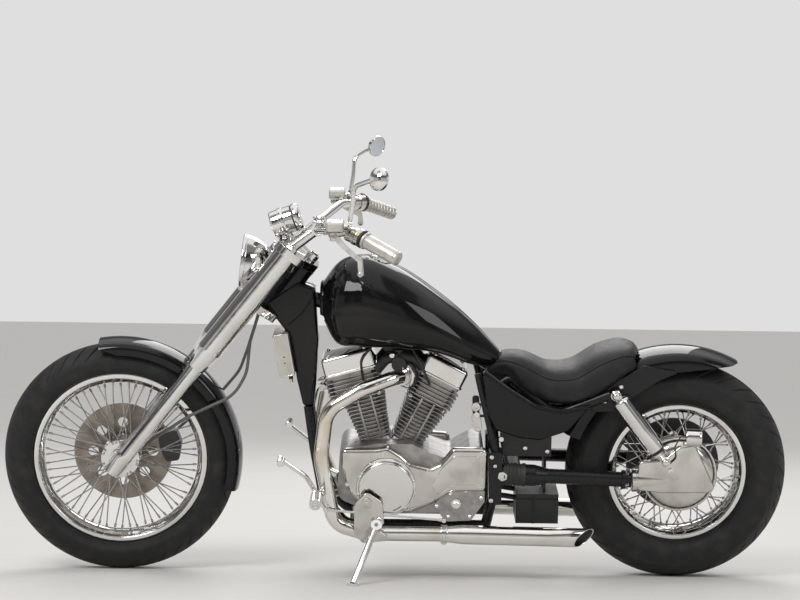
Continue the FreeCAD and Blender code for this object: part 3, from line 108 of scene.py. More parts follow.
class Wire:
    """One socket's value inside a material; + - * / < and > on it add Math nodes."""

    def __init__(self, tree, socket=None):
        self.tree, self.socket = tree, socket

    def node(self, kind, settings=None, values=None, out=0):
        """A node of that kind: its settings first, then the values or links of its sockets."""
        made = self.tree.nodes.new(kind)
        for key, value in (settings or {}).items():
            if key == "stops":
                ramp = made.color_ramp
                while len(ramp.elements) < len(value):
                    ramp.elements.new(0.5)
                for stop, (place, shade) in zip(ramp.elements, value):
                    stop.position = place
                    stop.color = shade if isinstance(shade, tuple) else (shade, shade, shade, 1)
            else:
                setattr(made, key, value)
        for key, value in (values or {}).items():
            if isinstance(value, Wire):
                self.tree.links.new(value.socket, made.inputs[key])
            else:
                made.inputs[key].default_value = value
        return Wire(self.tree, made.outputs[out])

    def math(self, operation, a, b=0.0, c=0.0):
        return self.node("ShaderNodeMath", {"operation": operation}, {0: a, 1: b, 2: c})

    def __add__(self, other):
        return self.math("ADD", self, other)

    def __sub__(self, other):
        return self.math("SUBTRACT", self, other)

    def __rsub__(self, other):
        return self.math("SUBTRACT", other, self)

    def __mul__(self, other):
        return self.math("MULTIPLY", self, other)

    def __truediv__(self, other):
        return self.math("DIVIDE", self, other)

    def __gt__(self, other):
        return self.math("GREATER_THAN", self, other)

    def __lt__(self, other):
        return self.math("LESS_THAN", self, other)

    __radd__, __rmul__ = __add__, __mul__

    def between(self, low, high):
        """0 below low, 1 above high and a smooth step between."""
        return self.node("ShaderNodeMapRange", {"interpolation_type": "SMOOTHSTEP"},
                         {0: self, 1: low, 2: high, 3: 0.0, 4: 1.0})

    def mix(self, first, second, share):
        """Colour between first and second."""
        return self.node("ShaderNodeMix", {"data_type": "RGBA"}, {0: share, 6: first, 7: second}, 2)

    def noise(self, scale, detail=3.0, rough=0.5, stretch=(1, 1, 1)):
        """Noise on the piece's own coordinates, stretched by a vector."""
        place = self.node("ShaderNodeTexCoord", out=3)
        wide = self.node("ShaderNodeVectorMath", {"operation": "MULTIPLY"}, {0: place, 1: stretch})
        return self.node("ShaderNodeTexNoise", {}, {"Vector": wide, "Scale": scale, "Detail": detail,
                                                    "Roughness": rough})

    def place(self, axis):
        """One of the piece's own coordinates, in metres: 0, 1 or 2."""
        return self.node("ShaderNodeSeparateXYZ", {}, {0: self.node("ShaderNodeTexCoord", out=3)}, axis)


def finish(name, colour, rough, metal=0.0, coat=0.0, height=None, depth=0.0, sheen=0.0, ior=1.5,
           alpha=None, transmission=0.0, emission=None):
    """A material: each argument is a number or colour, or a function of the material's Wire that gives one."""
    material = bpy.data.materials.new(name)
    material.use_nodes = True
    tree = material.node_tree
    tree.nodes.clear()
    start = Wire(tree)
    fed = {}
    for key, value in (("Base Color", colour), ("Roughness", rough), ("Metallic", metal), ("Coat Weight", coat),
                       ("Alpha", alpha), ("Emission Color", emission)):
        if value is None:
            continue
        value = value(start) if callable(value) else value
        fed[key] = value + (1.0,) if isinstance(value, tuple) and len(value) == 3 else value
    fed["IOR"], fed["Sheen Weight"], fed["Transmission Weight"] = ior, sheen, transmission
    fed["Coat Roughness"] = 0.02
    if emission is not None:
        fed["Emission Strength"] = 1.0
    if height is not None:
        fed["Normal"] = start.node("ShaderNodeBump", {}, {"Height": height(start), "Distance": depth,
                                                          "Strength": 1.0})
    shader = start.node("ShaderNodeBsdfPrincipled", {}, fed)
    output = tree.nodes.new("ShaderNodeOutputMaterial")
    tree.links.new(shader.socket, output.inputs["Surface"])
    return material


floor_paint = finish("floor paint", lambda w: w.mix((0.66, 0.645, 0.62, 1), (0.70, 0.685, 0.66, 1), w.noise(1.5)),
    0.65)
floor_mesh = bpy.data.meshes.new("floor")
floor_mesh.from_pydata([(-40, -40, 0), (40, -40, 0), (40, 60, 0), (-40, 60, 0)], [], [(0, 1, 2, 3)])
floor = bpy.data.objects.new("floor", floor_mesh)
floor.data.materials.append(floor_paint)
bpy.context.scene.collection.objects.link(floor)

world = bpy.data.worlds.new("studio")
world.use_nodes = True
world.node_tree.nodes.clear()
sky = Wire(world.node_tree)
way_out = sky.node("ShaderNodeTexCoord", out=0)
height_up = sky.node("ShaderNodeSeparateXYZ", {}, {0: way_out}, 2)
to_side, to_back = (sky.node("ShaderNodeSeparateXYZ", {}, {0: way_out}, k) for k in (0, 1))
dome = sky.node("ShaderNodeValToRGB", {"stops": ((0.0, 0.55), (0.50, 0.74), (0.60, 0.74), (0.66, 0.20),
                                                 (0.74, 0.17), (0.84, 1.0), (1.0, 1.15))},
                {0: height_up * 0.5 + 0.5})
near = (to_back * -1.0).between(-0.1, 0.2)
screens = to_side.between(0.30, 0.36) * (1.0 - to_side.between(0.62, 0.70))
screens = screens + (to_side * -1.0).between(0.34, 0.40) * (1.0 - (to_side * -1.0).between(0.60, 0.68))
shade = 1.0 - near * screens * 0.75
shade = shade * (1.0 - near * 0.36 * (1.0 - height_up.between(0.45, 0.70)))
air = sky.node("ShaderNodeBackground", {}, {"Color": dome, "Strength": shade})
world_end = world.node_tree.nodes.new("ShaderNodeOutputWorld")
world.node_tree.links.new(air.socket, world_end.inputs["Surface"])
bpy.context.scene.world = world

for lamp_name, at, aim, power, width in (
        ("key lamp", (-2.6, -3.6, 4.2), (0, 0, 0.5), 150.0, 2.2),
        ("fill lamp", (3.4, -3.0, 2.6), (0.2, 0, 0.5), 45.0, 2.0),
        ("back lamp", (0.5, 3.8, 3.6), (0, 0, 0.5), 70.0, 2.6)):
    lamp_data = bpy.data.lights.new(lamp_name, "AREA")
    lamp_data.energy, lamp_data.size = power, width
    lamp = bpy.data.objects.new(lamp_name, lamp_data)
    lamp.location = at
    sight = unit(np.array(aim) - np.array(at))
    lamp.rotation_euler = (math.acos(-sight[2]), 0.0, math.atan2(-sight[0], sight[1]))
    bpy.context.scene.collection.objects.link(lamp)

# ---- how a piece joins the machine ---------------------------------------------------------------
# Each piece rides on one rigid body. Its finish is made in the first section that needs it, and
# BY_SLOT says which finish belongs to which material slot of the frame.

BY_SLOT = {}


def body_of(node):
    return next(b for b, nodes in frame["record"]["behaviour"]["bodies"].items() if node in nodes)


slot_of = {s["node"]: s["material_slot"] for s in frame["record"]["subparts"]}


def dressed(node, bevel=1.2, angle=32.0, material=None, name=None):
    """A merged copy of a CAD piece with its flat faces joined up, its edges rounded and its curves smoothed."""
    made = bmesh.new()
    made.from_mesh(frame["nodes"][node].data)
    bmesh.ops.remove_doubles(made, verts=made.verts, dist=2e-5)
    bmesh.ops.dissolve_limit(made, angle_limit=math.radians(1.0), verts=made.verts, edges=made.edges)
    mesh = bpy.data.meshes.new(name or node + "_form")
    made.to_mesh(mesh)
    made.free()
    return settled(mesh, body_of(node), material or BY_SLOT[slot_of[node]], [node], bevel, angle)


def settled(mesh, body, material, stands_for=(), bevel=0.0, angle=32.0, levels=0):
    """Links a finished mesh as a piece of a body, smooth but for its sharp edges."""
    mesh.materials.append(material)
    mesh.shade_smooth()
    mesh.set_sharp_from_angle(angle=math.radians(angle))
    piece = bpy.data.objects.new(mesh.name, mesh)
    bpy.context.scene.collection.objects.link(piece)
    if bevel:
        edge = piece.modifiers.new("rounded edges", "BEVEL")
        edge.width, edge.segments, edge.limit_method = bevel * 0.001, 2, "ANGLE"
        edge.angle_limit = math.radians(max(angle, 38.0))
        edge.harden_normals = True
    if levels:
        fine = piece.modifiers.new("smooth", "SUBSURF")
        fine.levels = fine.render_levels = levels
    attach(piece, body)
    if stands_for:
        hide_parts(*stands_for)
    slot = next((s for s, m in BY_SLOT.items() if m is material), None)
    slot in [m["slot"] for m in frame["record"]["materials"]]
    return piece


# ---- tyres ---------------------------------------------------------------------------------------
# Tubeless road tyres: a rounded crown with slanting grooves, a shoulder, and a sidewall with a
# raised rim guard and two fine rings. Grooves are cut on lines that follow them round the tread.


def arc(a, middle, b, count):
    """Points of the circle through three points of a plane, from a to b: centre by perpendicular bisectors."""
    a, middle, b = (np.asarray(p, float) for p in (a, middle, b))
    lines = 2 * np.stack([middle - a, b - a])
    centre = np.linalg.solve(lines, np.array([middle @ middle - a @ a, b @ b - a @ a]))
    angles = [math.atan2(*(p - centre)[::-1]) for p in (a, middle, b)]
    sweep = (angles[2] - angles[0]) % (2 * math.pi)
    if (angles[1] - angles[0]) % (2 * math.pi) > sweep:
        sweep -= 2 * math.pi
    t = angles[0] + sweep * np.linspace(0, 1, count)
    return centre + np.linalg.norm(a - centre) * np.stack([np.cos(t), np.sin(t)], 1)


def skin(name, grids, body, material, stands_for=(), closed=(False, False), bevel=0.0, angle=32.0, levels=0):
    """Mesh of one or more grids of points: each cell of a grid is a face, and closed joins its last row or column
    to the first. Doubles are merged and the faces turned outwards before it is stood up."""
    points, faces, start = [], [], 0
    for grid in grids if isinstance(grids, (list, tuple)) else [grids]:
        rows, columns = grid.shape[:2]
        index = start + np.arange(rows * columns).reshape(rows, columns)
        if closed[0]:
            index = np.concatenate([index, index[:1]], 0)
        if closed[1]:
            index = np.concatenate([index, index[:, :1]], 1)
        faces.append(np.stack([index[:-1, :-1], index[1:, :-1], index[1:, 1:], index[:-1, 1:]], -1).reshape(-1, 4))
        points.append(grid.reshape(-1, 3))
        start += rows * columns
    mesh = bpy.data.meshes.new(name)
    mesh.from_pydata(stood(np.concatenate(points), body), [], np.concatenate(faces).tolist())
    form = bmesh.new()
    form.from_mesh(mesh)
    bmesh.ops.remove_doubles(form, verts=form.verts, dist=1e-6)
    bmesh.ops.dissolve_degenerate(form, dist=1e-6, edges=form.edges)
    bmesh.ops.recalc_face_normals(form, faces=form.faces)
    form.to_mesh(mesh)
    form.free()
    return settled(mesh, body, material, stands_for, bevel, angle, levels)


def ring(profile, centre, axis=ACROSS, start=(0, 0, 1), steps=144, angles=None):
    """Revolves (along, radius) pairs about an axis: centre + along * axis + radius * (cos start + sin side)."""
    axis, start = unit(np.asarray(axis, float)), np.asarray(start, float)
    start = unit(start - axis * (start @ axis))
    side = np.cross(axis, start)
    t = np.linspace(0, 2 * math.pi, steps, endpoint=False) if angles is None else np.asarray(angles)
    way = np.cos(t)[:, None, None] * start + np.sin(t)[:, None, None] * side
    profile = np.asarray(profile, float)
    return np.asarray(centre, float) + profile[None, :, :1] * axis + profile[None, :, 1:] * way


WHEELS = (
    # body, axle, tyre radius, half width, crown radius, rim radius, rim half width, groove pairs, groove reach
    ("front_wheel", FRONT_AXLE, FRONT_R, 60.0, 60.0, 254.0, 34.0, 44, 0.80),
    ("rear_wheel", REAR_AXLE, REAR_R, 84.0, 96.0, 203.0, 54.0, 34, 0.74),
)
RIM_WALL, FLANGE_LIP, WELL_DEPTH = 4.0, 12.0, 26.0

TREAD = finish("tyre tread and sidewall", lambda w: w.mix((0.010, 0.010, 0.0105, 1), (0.026, 0.025, 0.023, 1),
                                                         w.noise(26, 6).between(0.42, 0.85)),
               lambda w: w.noise(120, 5) * 0.2 + 0.50, ior=1.4, height=lambda w: w.noise(1400, 4) + w.noise(60,
                   3) * 0.4,
               depth=0.0004)
BY_SLOT["tyre"] = TREAD

for body, axle, radius, half, crown_r, rim_r, rim_half, grooves, groove_reach in WHEELS:
    seat = rim_r - FLANGE_LIP + 0.3
    edge_angle = math.asin((half - 3.0) / crown_r)
    shoulder = (crown_r * math.sin(edge_angle), radius - crown_r + crown_r * math.cos(edge_angle))
    widest = radius - 0.62 * (radius - seat)
    bead, foot = rim_half - RIM_WALL - 0.3, (rim_half + 2.0, rim_r + 1.3)
    out, up = half - foot[0], widest - foot[1]
    bend = (out * out + up * up) / (2 * out)
    low = 0.5 * math.atan2(-up, foot[0] - half + bend)
    bulge = (half - bend + bend * math.cos(low), widest + bend * math.sin(low))
    wall = np.concatenate([[(bead, seat), (bead, rim_r + 0.3)], arc(foot, bulge, (half, widest), 26),
                           arc((half, widest), (half - 0.9, 0.5 * (widest + shoulder[1])), shoulder, 10)[1:]])
    depth = np.zeros(len(wall))
    for at, wide, high in ((rim_r + 8, 2.0, 1.5), (widest - 4, 1.0, 0.5), (widest + 6, 1.0, 0.5)):
        depth += high * np.exp(-((wall[:, 1] - at) / wide) ** 2) * (wall[:, 0] > foot[0])
    normal = unit(np.stack([np.gradient(wall[:, 1]), -np.gradient(wall[:, 0])], 1))
    wall = wall + normal * depth[:, None] * 0.9
    across = np.linspace(edge_angle, -edge_angle, 41)[1:-1]
    crown = np.stack([crown_r * np.sin(across), radius - crown_r + crown_r * np.cos(across)], 1)
    section = np.concatenate([wall, crown, wall[::-1] * (-1, 1)])
    share = np.concatenate([np.full(len(wall), 1.0), across / edge_angle, np.full(len(wall), -1.0)])
    # columns of one groove pitch: land, lip, floor of the groove, lip, land
    pitch = 2 * math.pi / grooves
    steps = np.array([0.0, 0.16, 0.32, 0.46, 0.50, 0.60, 0.64, 0.80])
    cut = np.array([0, 0, 0, 0, 1, 1, 0, 0.0])
    turn = (np.arange(grooves)[:, None] + steps[None]).ravel() * pitch
    cut = np.tile(cut, grooves)
    span = np.clip(1 - np.abs((np.abs(share) - 0.5 * groove_reach - 0.10) / (0.5 * groove_reach)) ** 6, 0, 1) * (
        np.abs(share) < groove_reach + 0.08)
    lag = pitch * 1.5 * np.clip(np.abs(share), 0, 0.95) ** 1.4 + pitch * 0.5 * (share < 0)
    angle = turn[:, None] - lag[None]
    sunk = 4.2 * cut[:, None] * span[None] + 3.6 * (np.abs(np.abs(share) - 0.16) < 0.025)[None] * (radius < 330)
    reach = section[None, :, 1] - sunk
    grid = axle + np.stack([np.sin(angle) * reach, np.broadcast_to(section[None, :, 0], angle.shape),
                            np.cos(angle) * reach], -1)
    skin(body.replace("wheel", "tyre_form"), grid, body, TREAD, [body.replace("wheel", "tyre")], (True, False),
         angle=26)

# ---- rims, hubs and spokes -----------------------------------------------------------------------
# Chromed steel rims with a deep well, turned hubs, and straight spokes laced crosswise from both
# hub flanges, each held by a nipple in the rim.

# Both tones of the plate are tinted warm to stand in for the tan ground that the chrome reflects: a painted
# reflection.
CHROME = finish("chrome plate", lambda w: w.mix((0.74, 0.735, 0.72, 1), (0.64, 0.62, 0.59, 1),
                                                w.noise(9, 4).between(0.45, 0.75)),
                lambda w: w.noise(14, 5).between(0.35, 0.8) * 0.09 + 0.035, metal=1.0,
                height=lambda w: w.noise(28, 2), depth=0.0006)
BY_SLOT["chrome"] = CHROME

for body, axle, radius, half, crown_r, rim_r, rim_half, grooves, groove_reach in WHEELS:
    seat, well = rim_r - FLANGE_LIP, rim_r - WELL_DEPTH
    lip = arc((rim_half - RIM_WALL, rim_r - 1.5), (rim_half - 0.5 * RIM_WALL, rim_r), (rim_half, rim_r - 1.5), 7)
    outer = np.concatenate([lip[::-1], [(rim_half - RIM_WALL, seat + 1), (rim_half - RIM_WALL - 1.5, seat),
                                        (0.62 * rim_half, seat - 1.5), (0.56 * rim_half, seat - 2.5),
                                        (0.40 * rim_half, well + 1.5), (0.34 * rim_half, well)]])
    inner = np.array([(0.30 * rim_half, well - RIM_WALL), (0.36 * rim_half, well - RIM_WALL + 0.6),
                      (0.52 * rim_half, seat - 3.0 - RIM_WALL), (0.60 * rim_half, seat - 1.8 - RIM_WALL),
                      (rim_half - 3.2, seat - RIM_WALL), (rim_half - 0.9, seat - RIM_WALL + 1.0),
                      (rim_half, seat - RIM_WALL + 3.5)])
    section = np.concatenate([inner, outer, outer[::-1] * (-1, 1), inner[::-1] * (-1, 1)])
    skin(body.replace("wheel", "rim_form"), ring(section, axle, steps=180), body, CHROME,
         [body.replace("wheel", "rim")], (True, True), angle=50)

SPOKED = (
    # body, axle, hub half width, flange radius, barrel radius, spokes, bore radius, rim radius, rim half width
    ("front_wheel", FRONT_AXLE, 38.0, 56.0, 26.0, 60, 11.3, 254.0, 34.0),
    ("rear_wheel", REAR_AXLE, 44.0, 92.0, 60.0, 60, 14.3, 203.0, 54.0),
)


def carried(path, radii, sides=12, reference=ACROSS, flat=(1.0, 1.0)):
    """Round bars along paths: point + r (cos n + sin b), where n is the tangent crossed with the reference and
    b the tangent crossed with n. Path has shape (..., steps, 3) and radii (steps,) or a number."""
    path = np.asarray(path, float)
    tangent = unit(np.gradient(path, axis=-2))
    n = unit(np.cross(tangent, np.asarray(reference, float)))
    b = np.cross(tangent, n)
    t = np.linspace(0, 2 * math.pi, sides, endpoint=False)
    radii = np.broadcast_to(np.asarray(radii, float), path.shape[:-1])[..., None, None]
    return (path[..., None, :] + radii * (flat[0] * np.cos(t)[:, None] * n[..., None, :] +
                                          flat[1] * np.sin(t)[:, None] * b[..., None, :]))


def capped(grid):
    """Closes a bar's two ends with a point in the middle of each."""
    first = np.broadcast_to(grid[:1].mean(1, keepdims=True), grid[:1].shape)
    last = np.broadcast_to(grid[-1:].mean(1, keepdims=True), grid[-1:].shape)
    return np.concatenate([first, grid, last])


STAINLESS = finish("stainless wire", (0.40, 0.39, 0.38), lambda w: w.noise(160, 3) * 0.12 + 0.20, metal=1.0)
for body, axle, half, flange_r, barrel_r, spokes, bore_r, rim_r, rim_half in SPOKED:
    edge = [(-half, bore_r), (-half, barrel_r - 8), (-half - 0.0, flange_r - 12), (-half, flange_r - 0.8),
            (-half + 0.8, flange_r), (-half + 5.2, flange_r), (-half + 6, flange_r - 0.8), (-half + 6.4,
                flange_r - 10)]
    waist = arc((-half + 7, flange_r - 14), (-half + 12, barrel_r + 3), (-half + 20, barrel_r), 8)
    left = np.concatenate([edge, waist])
    section = np.concatenate([left, left[::-1] * (-1, 1)])
    number = np.arange(spokes)
    side = np.where(number < spokes // 2, -1.0, 1.0)
    i = number % (spokes // 2)
    face = np.where(i % 4 < 2, half + 1.4, half - 7.4)
    at_hub = 2 * math.pi * (i + 0.5 * (side > 0)) / (spokes // 2)
    at_rim = at_hub + np.where(i % 2 == 1, 1, -1) * math.radians(24.0)
    reach = rim_r - WELL_DEPTH - RIM_WALL - 1.8
    start = axle + np.stack([np.sin(at_hub) * (flange_r - 6), side * face, np.cos(at_hub) * (flange_r - 6)], 1)
    end = axle + np.stack([np.sin(at_rim) * reach, side * 0.18 * rim_half, np.cos(at_rim) * reach], 1)
    run = np.linspace(0, 1, 5)[None, :, None]
    wires = carried(start[:, None] * (1 - run) + end[:, None] * run, 1.9, 8)
    tail = np.array([0.93, 0.935, 0.985, 0.992])[None, :, None]
    nipples = carried(start[:, None] * (1 - tail) + end[:, None] * tail, [2.0, 3.4, 3.4, 2.2], 6)
    heads = start + side[:, None] * np.array([0, 1.2, 0]) * np.where(i % 4 < 2, 1, -1)[:, None]
    rivets = carried(np.stack([heads - [0, 1.8, 0], heads - [0, 1.7, 0], heads + [0, 1.7, 0], heads + [0, 1.8, 0]],
        1),
                     [0.3, 3.4, 3.4, 0.3], 8, reference=(1, 0.01, 0))
    pieces = [np.concatenate([wires[k], wires[k][:, :1]], 1) for k in range(spokes)]
    pieces += [np.concatenate([nipples[k], nipples[k][:, :1]], 1) for k in range(spokes)]
    pieces += [np.concatenate([rivets[k], rivets[k][:, :1]], 1) for k in range(spokes)]
    hub_grid = ring(section, axle, steps=72)
    hub_grid = np.concatenate([hub_grid, hub_grid[:1]], 0)
    skin(body.replace("wheel", "hub_form"), np.concatenate([hub_grid, hub_grid[:, :1]], 1), body, CHROME,
         [body.replace("wheel", "hub")], angle=40)
    skin(body.replace("wheel", "spokes_form"), pieces, body, STAINLESS, angle=40)

# ---- fork ----------------------------------------------------------------------------------------
# Two plain lower legs under long chromed sleeves that narrow to them at the bottom, held by a
# wide upper clamp with capped bolts and a lower clamp out of sight between the sleeves.

LEG_R, SLEEVE_R, SPACING = 24.5, 36.5, 100.0
SLEEVE_LOW, SLEEVE_FULL, SLEEVE_TOP = 366.0, 430.0, 784.0


def on_fork(along, side=0.0, behind=0.0):
    """Up the fork from the front axle, sideways and behind the legs."""
    return FRONT_AXLE + UP_FORK * along + ACROSS * side + BACK_FORK * behind


def both(grids, mirror=True):
    """The same grids with their mirror images across the machine's middle."""
    grids = grids if isinstance(grids, (list, tuple)) else [grids]
    return list(grids) + [g * np.array([1, -1, 1]) for g in grids] if mirror else list(grids)


def around(grid):
    """Joins a grid's last row to its first."""
    return np.concatenate([grid, grid[:1]], 0)


leg = [(-33, 0), (-33, LEG_R - 4), (-32.2, LEG_R - 1.6), (-30, LEG_R), (18, LEG_R), (20, LEG_R + 0.8),
    (40, LEG_R + 0.8),
       (42, LEG_R), (SLEEVE_LOW - 4, LEG_R), (SLEEVE_LOW, LEG_R), (SLEEVE_LOW, 0)]
skin("fork_lower_legs", both(around(ring(leg, on_fork(0, -SPACING), UP_FORK, steps=64))), "fork", CHROME,
     ["fork_legs"], angle=30)
sleeve = [(SLEEVE_LOW, LEG_R - 2), (SLEEVE_LOW, LEG_R + 1.6), (SLEEVE_LOW + 1, LEG_R + 2.2),
          (SLEEVE_LOW + 0.96 * 64, SLEEVE_R - 0.6), (SLEEVE_FULL, SLEEVE_R - 0.15), (SLEEVE_FULL + 4, SLEEVE_R),
          (SLEEVE_TOP - 1, SLEEVE_R), (SLEEVE_TOP, SLEEVE_R - 1), (SLEEVE_TOP, 0)]
skin("fork_sleeves", both(around(ring(sleeve, on_fork(0, -SPACING), UP_FORK, steps=96))), "fork", CHROME,
     ["fork_covers"], angle=30)


def bolt_heads(places, axis, radius=6.0, high=5.0, sides=6, socket=True):
    """Cap bolts: hexagon or round heads with a rounded top and a sunk socket, one grid a place."""
    socket_r = 0.52 * radius if socket else 0.1
    profile = [(-2, radius), (0.72 * high, radius), (0.92 * high, 0.93 * radius), (high, 0.80 * radius),
               (high, socket_r + 0.2), (0.45 * high if socket else high, socket_r), (0.45 * high if socket else high,
                   0)]
    spin = np.linspace(0, 2 * math.pi, sides, endpoint=False)
    off = np.array([0.013, 0.99, 0.11])
    return [around(ring(profile, place, axis, off, angles=spin)) for place in places]


caps = [on_fork(808, s * SPACING) for s in (-1, 1)]
pinch = [on_fork(796, s * 62, 40) for s in (-1, 1)]
skin("clamp_bolts", bolt_heads(caps, UP_FORK, 17, 7, 6, False) + bolt_heads(pinch, BACK_FORK, 6, 6, 16) +
     bolt_heads([on_fork(824, 0, 70)], UP_FORK, 13, 6, 6, False), "fork", CHROME, angle=30)

# ---- headlight -----------------------------------------------------------------------------------
# Chromed bullet shell, a rolled rim with a seam, clear curved glass over a faceted reflector, and a
# short bracket with its pivot bolt on the upper clamp.

LAMP_R = 82.0
LAMP_FRONT, LAMP_AIM = np.array([-461.0, 0, 920]), unit(np.array([-0.995, 0, 0.10]))
back = np.concatenate([arc((-14, LAMP_R - 1), (-47, 70.5), (-84, 42.6), 14),
    arc((-84, 42.6), (-99.7, 24.6), (-105, 0), 9)[1:]])
rim = np.concatenate([[(-3, LAMP_R - 12)], arc((-1.5, LAMP_R - 8.5), (-0.4, LAMP_R - 2.2), (-6, LAMP_R), 8),
                      [(-11, LAMP_R), (-12.5, LAMP_R - 0.8), (-12.8, LAMP_R - 2.4), (-13.6, LAMP_R - 2.2)]])
skin("headlight_shell", around(ring(np.concatenate([rim, back]), LAMP_FRONT, LAMP_AIM, steps=96)), "fork", CHROME,
     ["headlight"], angle=35)
GLASS = finish("lamp glass", (0.96, 0.97, 0.98), 0.02, transmission=1.0, ior=1.3)
REFLECTOR = finish("lamp reflector", (0.86, 0.86, 0.87), 0.07, metal=1.0,
                   height=lambda w: w.node("ShaderNodeTexVoronoi", {}, {"Vector": w.node("ShaderNodeTexCoord", out=3),
                                                                       "Scale": 90.0}), depth=0.002)
lens = np.concatenate([arc((-4, LAMP_R - 9), (-1.4, 40), (-0.3, 0.0), 12), [(-2.4, 0)],
                       arc((-2.4, 0.01), (-3.4, 40), (-6, LAMP_R - 9), 12)])
skin("headlight_glass", around(ring(lens, LAMP_FRONT, LAMP_AIM, steps=72)), "fork", GLASS, angle=40)
bowl = arc((-7, LAMP_R - 12), (-42, 48), (-62, 0), 16)
bulb = [(-60, 9), (-34, 9), (-30, 7), (-29, 0)]
skin("headlight_reflector", [around(ring(bowl, LAMP_FRONT, LAMP_AIM, steps=64)),
                             around(ring(bulb, LAMP_FRONT, LAMP_AIM, steps=24))], "fork", REFLECTOR, angle=40)
seat_at, seat_end = on_fork(784, 0, -36), LAMP_FRONT - LAMP_AIM * 99
skin("headlight_bracket",
     [around(ring([(-2, 0), (-2, 9), (2, 11), (14, 11), (18, 9), (np.linalg.norm(seat_end - seat_at), 9),
                   (np.linalg.norm(seat_end - seat_at), 0)], seat_at, seat_end - seat_at, steps=32))] +
     bolt_heads([LAMP_FRONT + np.array([58, s * 62.0, 0]) for s in (-1, 1)][:1], -ACROSS, 9, 6, 20, False) +
     bolt_heads([LAMP_FRONT + np.array([58, 62.0, 0])], ACROSS, 9, 6, 20, False), "fork", CHROME, angle=30)

# ---- speedometer ---------------------------------------------------------------------------------
# Chromed cup on a bracket over the upper clamp, with a rolled bezel behind a dark band, and a pale
# dial under flat glass that faces the rider: ticks, generic numbers and a red needle.

PLASTIC = finish("black plastic", (0.016, 0.016, 0.017), lambda w: w.noise(200, 3) * 0.15 + 0.38,
                 height=lambda w: w.noise(1200, 2), depth=0.0002)
BY_SLOT["black_plastic"] = PLASTIC

METER_FRONT, METER_BACK = np.array([-374.0, 0, 1027]), np.array([-292.0, 0, 1056])
METER_AIM = unit(METER_BACK - METER_FRONT)
cup = np.concatenate([[(0, 0), (0, 28)], arc((0.3, 30), (2.4, 36), (8, 39), 7),
    [(66, 39), (67, 37.6), (69, 37.6), (70, 39.4)],
                      arc((71, 40), (84, 40), (88.5, 37.6), 4), [(89, 36), (86, 34.5), (86, 0)]])
skin("speedometer_cup", around(ring(cup, METER_FRONT, METER_AIM, steps=96)), "fork", CHROME, ["speedometer"],
    angle=32)
skin("speedometer_band", around(ring([(66.4, 38.2), (66.6, 38.9), (69.2, 38.9), (69.4, 38.2)], METER_FRONT, METER_AIM,
                                     steps=72)), "fork", PLASTIC)
dial_right, dial_up = ACROSS * -1.0, np.cross(METER_AIM, ACROSS * -1.0)
DIAL = finish("speedometer dial", (0.72, 0.71, 0.66), 0.5)
INK = finish("dial ink", (0.02, 0.02, 0.02), 0.5)
NEEDLE = finish("dial needle", (0.55, 0.02, 0.015), 0.4)
skin("speedometer_dial", around(ring([(86.2, 0), (86.2, 34.4)], METER_FRONT, METER_AIM, steps=72)), "fork", DIAL)


def on_dial(x, y, high=86.6):
    return METER_FRONT + METER_AIM * high + dial_right * x + dial_up * y


ticks = []
for k in range(25):
    t = math.radians(225 - k * 11.25)
    long = 26.5 if k % 2 else 24.0
    wide = 0.35 if k % 2 else 0.6
    way, off = np.array([math.cos(t), math.sin(t)]), np.array([-math.sin(t), math.cos(t)])
    ticks.append(np.array([[on_dial(*(way * r + off * s * wide)) for s in (-1, 1)] for r in (long, 30.5)]))
skin("dial_ticks", ticks, "fork", INK)
for k in range(0, 13, 2):
    t = math.radians(225 - k * 22.5)
    words = bpy.data.curves.new("dial_number_%d" % (k * 20), "FONT")
    words.body, words.size, words.align_x, words.align_y = str(k * 20), 6.2, "CENTER", "CENTER"
    text = bpy.data.objects.new("number", words)
    flat = bpy.data.meshes.new_from_object(text)
    bpy.data.objects.remove(text)
    corners = np.zeros(len(flat.vertices) * 3)
    flat.vertices.foreach_get("co", corners)
    corners = corners.reshape(-1, 3)
    spot = on_dial(19.0 * math.cos(t), 19.0 * math.sin(t))
    flat.vertices.foreach_set("co", stood(spot + corners[:, :1] * dial_right + corners[:, 1:2] * dial_up,
        "fork").ravel())
    flat.name = "dial_number_%d" % (k * 20)
    settled(flat, "fork", INK)
needle = np.array([[on_dial(-3, -1.2, 87.6), on_dial(-3, 1.2, 87.6)],
    [on_dial(-22, -14.6, 87.6), on_dial(-22.6, -14.0, 87.6)]])
skin("dial_needle", [needle, around(ring([(86.8, 4), (88, 4), (88.6, 3), (88.6, 0)], METER_FRONT, METER_AIM,
    steps=24))],
     "fork", NEEDLE)
skin("speedometer_glass", around(ring([(87.6, 34.4), (88.8, 34.4), (89.2, 20), (89.3, 0)], METER_FRONT, METER_AIM,
    steps=48)),
     "fork", GLASS)
meter_low = on_fork(808, 0, 0)
skin("speedometer_bracket", [around(ring([(-1, 0), (-1, 15), (4, 15), (6, 12), (44, 11), (44, 0)], meter_low,
                                         METER_FRONT + METER_AIM * 42 - meter_low, steps=32)),
                             around(ring([(28, 39.2), (28, 41), (29, 41.5), (41, 41.5), (42, 41), (42, 39.2)],
                                 METER_FRONT,
                                         METER_AIM, steps=72))], "fork", CHROME, angle=32)

# ---- handlebar -----------------------------------------------------------------------------------
# One chromed tube pulled back to the grips, clamped on two tall risers with split caps.


